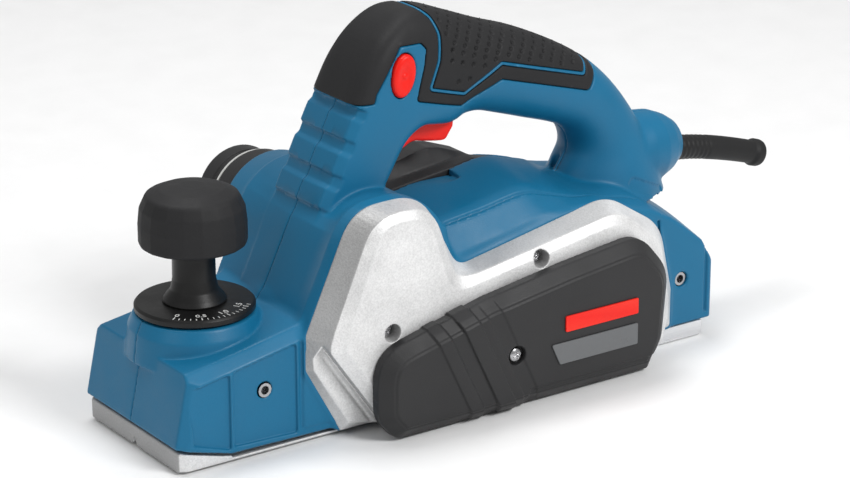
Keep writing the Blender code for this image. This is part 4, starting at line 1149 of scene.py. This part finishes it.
def surface(name, colour, rough, metal=0.0, grain=900.0, bump=0.15, mottle=0.12, rough_swing=0.12, edge_wear_and_highlight=0.0,
            edge_wear_and_highlight_colour=(0.5, 0.5, 0.5), coat=0.0, stretch=(1, 1, 1)):
    """Material with mottled colour, uneven roughness, fine grain and lightened edges, partly edge wear and
    partly painted highlight.
    """
    mat, tree, shader = new_material(name, colour, rough, metal)
    links = tree.links
    place = add_node(tree, "ShaderNodeTexCoord")
    scale = add_node(tree, "ShaderNodeMapping")
    scale.inputs["Scale"].default_value = stretch
    links.new(place.outputs["Object"], scale.inputs["Vector"])
    broad = add_node(tree, "ShaderNodeTexNoise", Scale=38.0, Detail=4.0, Roughness=0.55)
    fine = add_node(tree, "ShaderNodeTexNoise", Scale=grain, Detail=3.0, Roughness=0.6)
    for noise in (broad, fine):
        links.new(scale.outputs["Vector"], noise.inputs["Vector"])
    blend = add_node(tree, "ShaderNodeMix", data_type="RGBA", blend_type="MULTIPLY")
    blend.inputs[0].default_value = 1.0
    blend.inputs[6].default_value = (*colour, 1)
    both = add_node(tree, "ShaderNodeMath", operation="ADD")
    links.new(broad.outputs["Fac"], both.inputs[0])
    links.new(fine.outputs["Fac"], both.inputs[1])
    links.new(ranged(tree, both.outputs[0], 0.65, 1.35, 1 - mottle, 1 + mottle * 0.6), blend.inputs[7])
    colour_out = blend.outputs[2]
    # Pointy edges are mixed towards a lighter colour: partly edge wear, partly a painted highlight.
    if edge_wear_and_highlight:
        geometry = add_node(tree, "ShaderNodeNewGeometry")
        edge_wear_and_highlight_mix = add_node(tree, "ShaderNodeMix", data_type="RGBA")
        links.new(ranged(tree, geometry.outputs["Pointiness"], 0.535, 0.64, 0.0, edge_wear_and_highlight), edge_wear_and_highlight_mix.inputs[0])
        links.new(colour_out, edge_wear_and_highlight_mix.inputs[6])
        edge_wear_and_highlight_mix.inputs[7].default_value = (*edge_wear_and_highlight_colour, 1)
        colour_out = edge_wear_and_highlight_mix.outputs[2]
    links.new(colour_out, shader.inputs["Base Color"])
    smoothest, roughest = max(rough - rough_swing, 0.04), min(rough + rough_swing, 1)
    links.new(ranged(tree, broad.outputs["Fac"], 0.3, 0.7, smoothest, roughest), shader.inputs["Roughness"])
    height = add_node(tree, "ShaderNodeBump", Strength=bump, Distance=0.0002)
    links.new(fine.outputs["Fac"], height.inputs["Height"])
    links.new(height.outputs["Normal"], shader.inputs["Normal"])
    if coat:
        shader.inputs["Coat Weight"].default_value = coat
        shader.inputs["Coat Roughness"].default_value = 0.25
    return mat


# Lighter edge colours below are partly wear and partly painted highlight; the blue housing's edge colour is
# the lit highlight blue.
CASTING = dict(colour=(0.74, 0.74, 0.74), rough=0.50, metal=0.35, grain=1150, bump=0.9, mottle=0.24, edge_wear_and_highlight=0.6,
               edge_wear_and_highlight_colour=(0.93, 0.93, 0.93))
LOOKS = {
    "blue_housing": surface("moulded_blue", (0.006, 0.133, 0.262), 0.42, grain=1500, bump=0.22, mottle=0.07,
                            edge_wear_and_highlight=0.35, edge_wear_and_highlight_colour=(0.10, 0.32, 0.52)),
    "soft_grip": surface("soft_black", (0.014, 0.014, 0.015), 0.62, grain=1900, bump=0.45, mottle=0.16,
                         edge_wear_and_highlight=0.3, edge_wear_and_highlight_colour=(0.05, 0.05, 0.052)),
    "black_plastic": surface("black_plastic", (0.010, 0.010, 0.010), 0.42, grain=1300, bump=0.2, mottle=0.15,
                             edge_wear_and_highlight=0.35, edge_wear_and_highlight_colour=(0.05, 0.05, 0.05)),
    "dark_grey_plastic": surface("dark_grey_plastic", (0.024, 0.024, 0.025), 0.50, grain=1600, bump=0.35,
                                 mottle=0.14, edge_wear_and_highlight=0.35, edge_wear_and_highlight_colour=(0.08, 0.08, 0.083)),
    "light_nylon": surface("light_nylon", (0.62, 0.62, 0.60), 0.45, grain=900, bump=0.15, mottle=0.08),
    "black_rubber": surface("black_rubber", (0.012, 0.012, 0.0125), 0.55, grain=1400, bump=0.3, mottle=0.15),
    "red_plastic": surface("red_plastic", (0.80, 0.010, 0.004), 0.42, grain=900, bump=0.10, mottle=0.06,
                           edge_wear_and_highlight=0.3, edge_wear_and_highlight_colour=(0.85, 0.06, 0.03)),
    "cast_aluminium": surface("cast_aluminium", **CASTING),
    "steel": surface("steel", (0.42, 0.42, 0.43), 0.28, 1.0, grain=700, bump=0.10, mottle=0.15),
    "blade_steel": surface("blade_steel", (0.50, 0.51, 0.53), 0.22, 1.0, grain=500, bump=0.2, mottle=0.1,
                           stretch=(6, 1, 6)),
    "brass": surface("brass", (0.72, 0.53, 0.20), 0.32, 1.0, grain=700, bump=0.12),
    "copper": surface("copper", (0.72, 0.34, 0.18), 0.32, 1.0, grain=700, bump=0.12, stretch=(1, 5, 1)),
    "laminations": surface("laminations", (0.26, 0.26, 0.28), 0.45, 1.0, grain=600, bump=0.5,
                           stretch=(1, 9, 1)),
    "carbon": surface("carbon", (0.05, 0.05, 0.05), 0.6, grain=1200, bump=0.4),
}


def paint_front_wall_shade(mat, dark):
    """Painted shade: darken a casting's drafted side walls where they face the front, where less light falls.
    """
    tree = mat.node_tree
    shader = tree.nodes["Principled BSDF"]
    source = shader.inputs["Base Color"].links[0].from_socket
    geometry = add_node(tree, "ShaderNodeNewGeometry")
    split = add_node(tree, "ShaderNodeSeparateXYZ")
    painted_shade_mask = add_node(tree, "ShaderNodeMath", operation="MULTIPLY")
    blend = add_node(tree, "ShaderNodeMix", data_type="RGBA", blend_type="MULTIPLY")
    blend.inputs[7].default_value = (*dark, 1)
    links = tree.links
    links.new(geometry.outputs["Normal"], split.inputs["Vector"])
    # Painted shade mask: walls turned away from -Y and towards the front get the dark colour.
    links.new(ranged(tree, split.outputs["Y"], -0.82, -0.70), painted_shade_mask.inputs[0])
    links.new(ranged(tree, split.outputs["X"], 0.25, -0.35), painted_shade_mask.inputs[1])
    links.new(painted_shade_mask.outputs[0], blend.inputs[0])
    links.new(source, blend.inputs[6])
    links.new(blend.outputs[2], shader.inputs["Base Color"])
    return mat


# Plate and front shoe casting, with painted shade on its front-facing walls.
PLATE_CASTING_PAINTED_SHADE = paint_front_wall_shade(surface("plate_casting", **CASTING), (0.52, 0.52, 0.52))
MARK_WHITE = surface("mark_white", (0.80, 0.80, 0.78), 0.45, grain=900, bump=0.05, mottle=0.05)
BADGE_GREY = surface("badge_grey", (0.13, 0.135, 0.14), 0.38, grain=600, bump=0.06, mottle=0.05)
SOLE_METAL = surface("ground_sole", (0.78, 0.78, 0.79), 0.34, 0.8, grain=420, bump=0.35, mottle=0.10,
                     stretch=(0.12, 3, 3))
DRUM_METAL = surface("drum_metal", (0.62, 0.62, 0.63), 0.38, 0.9, grain=700, bump=0.3, mottle=0.12,
                     stretch=(3, 0.2, 3))

NODE_SLOTS = {
    "steel": ["clamp_bolt_1_left", "clamp_bolt_1_right", "clamp_bolt_2_left", "clamp_bolt_2_right",
              "drum_shaft", "drum_bearing_left", "drum_bearing_right", "drum_pulley", "motor_pulley",
              "armature_shaft",
              "motor_bearing_left", "motor_bearing_right", "detent_spring", "trigger_pin", "depth_screw",
              "side_insert_left_front", "side_insert_left_rear", "side_insert_right_front",
              "side_insert_right_rear", "blade_clamp_1", "blade_clamp_2"],
    "blade_steel": ["planer_blade_1", "planer_blade_2"],
    "cast_aluminium": ["right_bearing_cap"],
    "brass": ["depth_nut"],
    "copper": ["commutator"],
    "laminations": ["motor_stator", "armature_core"],
    "carbon": ["carbon_brush_1", "carbon_brush_2"],
    "dark_grey_plastic": ["switch_module", "brush_holder_1", "brush_holder_2"],
    "light_nylon": ["cord_clamp", "suppressor", "cooling_fan"],
    "black_rubber": ["drive_belt"],
}


def dress_cad_nodes():
    for look, names in NODE_SLOTS.items():
        for name in names:
            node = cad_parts[name]
            node.data.materials.clear()
            node.data.materials.append(LOOKS[look])
            for poly in node.data.polygons:
                poly.material_index = 0


def place(piece, body, slot, *nodes, look=None):
    """Give a piece its finish and its body, and hide the CAD nodes that it stands for."""
    data = piece.data
    data.materials.clear()
    data.materials.append(look or LOOKS[slot])
    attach(piece, body)
    if nodes:
        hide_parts(*nodes)
    return piece


# ------------------------------------------------------------------------ build
def build():
    shell = casing()
    place(half_of(shell, "casing_left", -1), "body", "blue_housing", "left_housing")
    place(half_of(shell, "casing_right", 1), "body", "blue_housing", "right_housing")
    cap, line, panel = soft_pieces()
    place(cap, "body", "soft_grip", "front_cap_grip")
    place(line, "body", "blue_housing")
    place(panel, "body", "soft_grip", "grip_overmold")
    place(duct_cover(), "body", "dark_grey_plastic", "duct_cover")
    place(side_plate(), "body", "cast_aluminium", "side_plate", look=PLATE_CASTING_PAINTED_SHADE)
    place(belt_cover(), "body", "dark_grey_plastic", "belt_cover")
    place(recessed_screw("cover_screw_head", *COVER_SCREW, -66.3), "body", "steel", "cover_screw")
    for i, node in enumerate(("plate_screw_front", "plate_screw_rear")):
        head = recessed_screw("plate_screw_head_%d" % (i + 1), *PLATE_SCREWS[i], -51.2)
        place(head, "body", "steel", node)
    place(trigger(), "trigger", "red_plastic", "trigger")
    place(lock_button(), "lock_button", "red_plastic", "lock_button")
    dial, stem, knob = depth_parts()
    place(dial, "depth_knob", "black_plastic", "depth_dial")
    place(stem, "depth_knob", "black_plastic", "knob_stem")
    place(knob, "depth_knob", "soft_grip", "depth_knob")
    for mark in dial_marks():
        place(mark, "depth_knob", "light_nylon", look=MARK_WHITE)
    collar, ring, tube = outlet_parts()
    place(collar, "body", "dark_grey_plastic", "chip_outlet_collar")
    place(ring, "body", "light_nylon", "chip_outlet_ring")
    place(tube, "body", "dark_grey_plastic", "chip_outlet_tube")
    place(bend_sleeve(), "body", "black_rubber", "cord_sleeve")
    place(front_shoe(), "front_shoe", "cast_aluminium", "front_shoe", look=PLATE_CASTING_PAINTED_SHADE)
    sole, chamber = rear_sole()
    place(sole, "body", "cast_aluminium", "rear_sole", look=SOLE_METAL)
    place(chamber, "body", "cast_aluminium")
    place(cutter_parts(), "cutter_drum", "cast_aluminium", "cutter_drum", look=DRUM_METAL)
    dress_cad_nodes()
    cover_marks()


def cover_marks():
    """Plain red bar and plain grey badge on the belt cover."""
    bar = bevelled("cover_bar", bar_outline(191.5, 34.4, 43.0, 7.8), -70.0, -69.1, 0.25)
    place(bar, "body", "red_plastic")
    badge = bevelled("cover_badge", bar_outline(185.5, 18.9, 49.0, 10.6, 5.0), -69.9, -69.1, 0.2)
    place(badge, "body", "dark_grey_plastic", look=BADGE_GREY)


def bar_outline(x, z, length, height, lean=0.0):
    """Upright-ended bar along the cover, its left end leaning like the bands."""
    return rounded([(x + lean * 0.6, z, 0.8), (x + length, z, 0.8), (x + length, z + height, 0.8),
                    (x - lean * 0.4, z + height, 0.8)], 3)


# ------------------------------------------------------------------------ stage
CAMERA_AT = (-0.79965, -1.11993, 0.55712)
CAMERA_TURN, CAMERA_DOWN, CAMERA_LENS = 35.0, 19.93, 128.96


def camera():
    turn, down = math.radians(CAMERA_TURN), math.radians(CAMERA_DOWN)
    ahead = Vector((math.sin(turn) * math.cos(down), math.cos(turn) * math.cos(down), -math.sin(down)))
    right = Vector((math.cos(turn), -math.sin(turn), 0))
    up = right.cross(ahead)
    data = bpy.data.cameras.new("camera")
    data.lens = CAMERA_LENS
    data.sensor_width = 36
    data.clip_start, data.clip_end = 0.05, 20
    cam = link_new("camera", data)
    cam.matrix_world = Matrix((
        (right.x, up.x, -ahead.x, CAMERA_AT[0]),
        (right.y, up.y, -ahead.y, CAMERA_AT[1]),
        (right.z, up.z, -ahead.z, CAMERA_AT[2]),
        (0, 0, 0, 1),
    ))
    bpy.context.scene.camera = cam


def area_light(name, at, aim, size, power):
    data = bpy.data.lights.new(name, "AREA")
    data.shape = "RECTANGLE"
    data.size, data.size_y = size
    data.energy = power
    lamp = link_new(name, data)
    lamp.location = at
    lamp.rotation_euler = (Vector(aim) - Vector(at)).to_track_quat("-Z", "Y").to_euler()


# Lamps: place and aim in metres, width and depth, power in watts.
LAMPS = {
    "key": ((0.35, -1.35, 1.25), (0, 0, 0.06), (0.6, 0.45), 21),
    "top": ((-0.1, 0.35, 1.5), (0, 0, 0.1), (0.9, 0.6), 12),
    "left": ((-1.3, -0.4, 0.7), (0, 0, 0.1), (0.7, 0.6), 1.5),
}
WORLD_LIGHT = 0.44
FLOOR_REACH, FLOOR_Z = 6000, -0.4


def studio():
    """Pale floor, white surroundings and three large soft lamps."""
    points = [(a * FLOOR_REACH, b * FLOOR_REACH, FLOOR_Z) for a, b in ((-1, -1), (1, -1), (1, 1), (-1, 1))]
    floor = mesh_object("floor", points, [(0, 1, 2, 3)])
    paper = surface("floor_paper", (0.86, 0.86, 0.86), 0.6, grain=200, bump=0.02, mottle=0.01)
    floor.data.materials.append(paper)
    world = bpy.data.worlds.new("studio")
    bpy.context.scene.world = world
    world.use_nodes = True
    back = world.node_tree.nodes["Background"]
    back.inputs["Color"].default_value = (1, 1, 1, 1)
    back.inputs["Strength"].default_value = WORLD_LIGHT
    for name, settings in LAMPS.items():
        area_light(name, *settings)


camera()
build()
studio()
bpy.context.scene.view_settings.view_transform = "Standard"
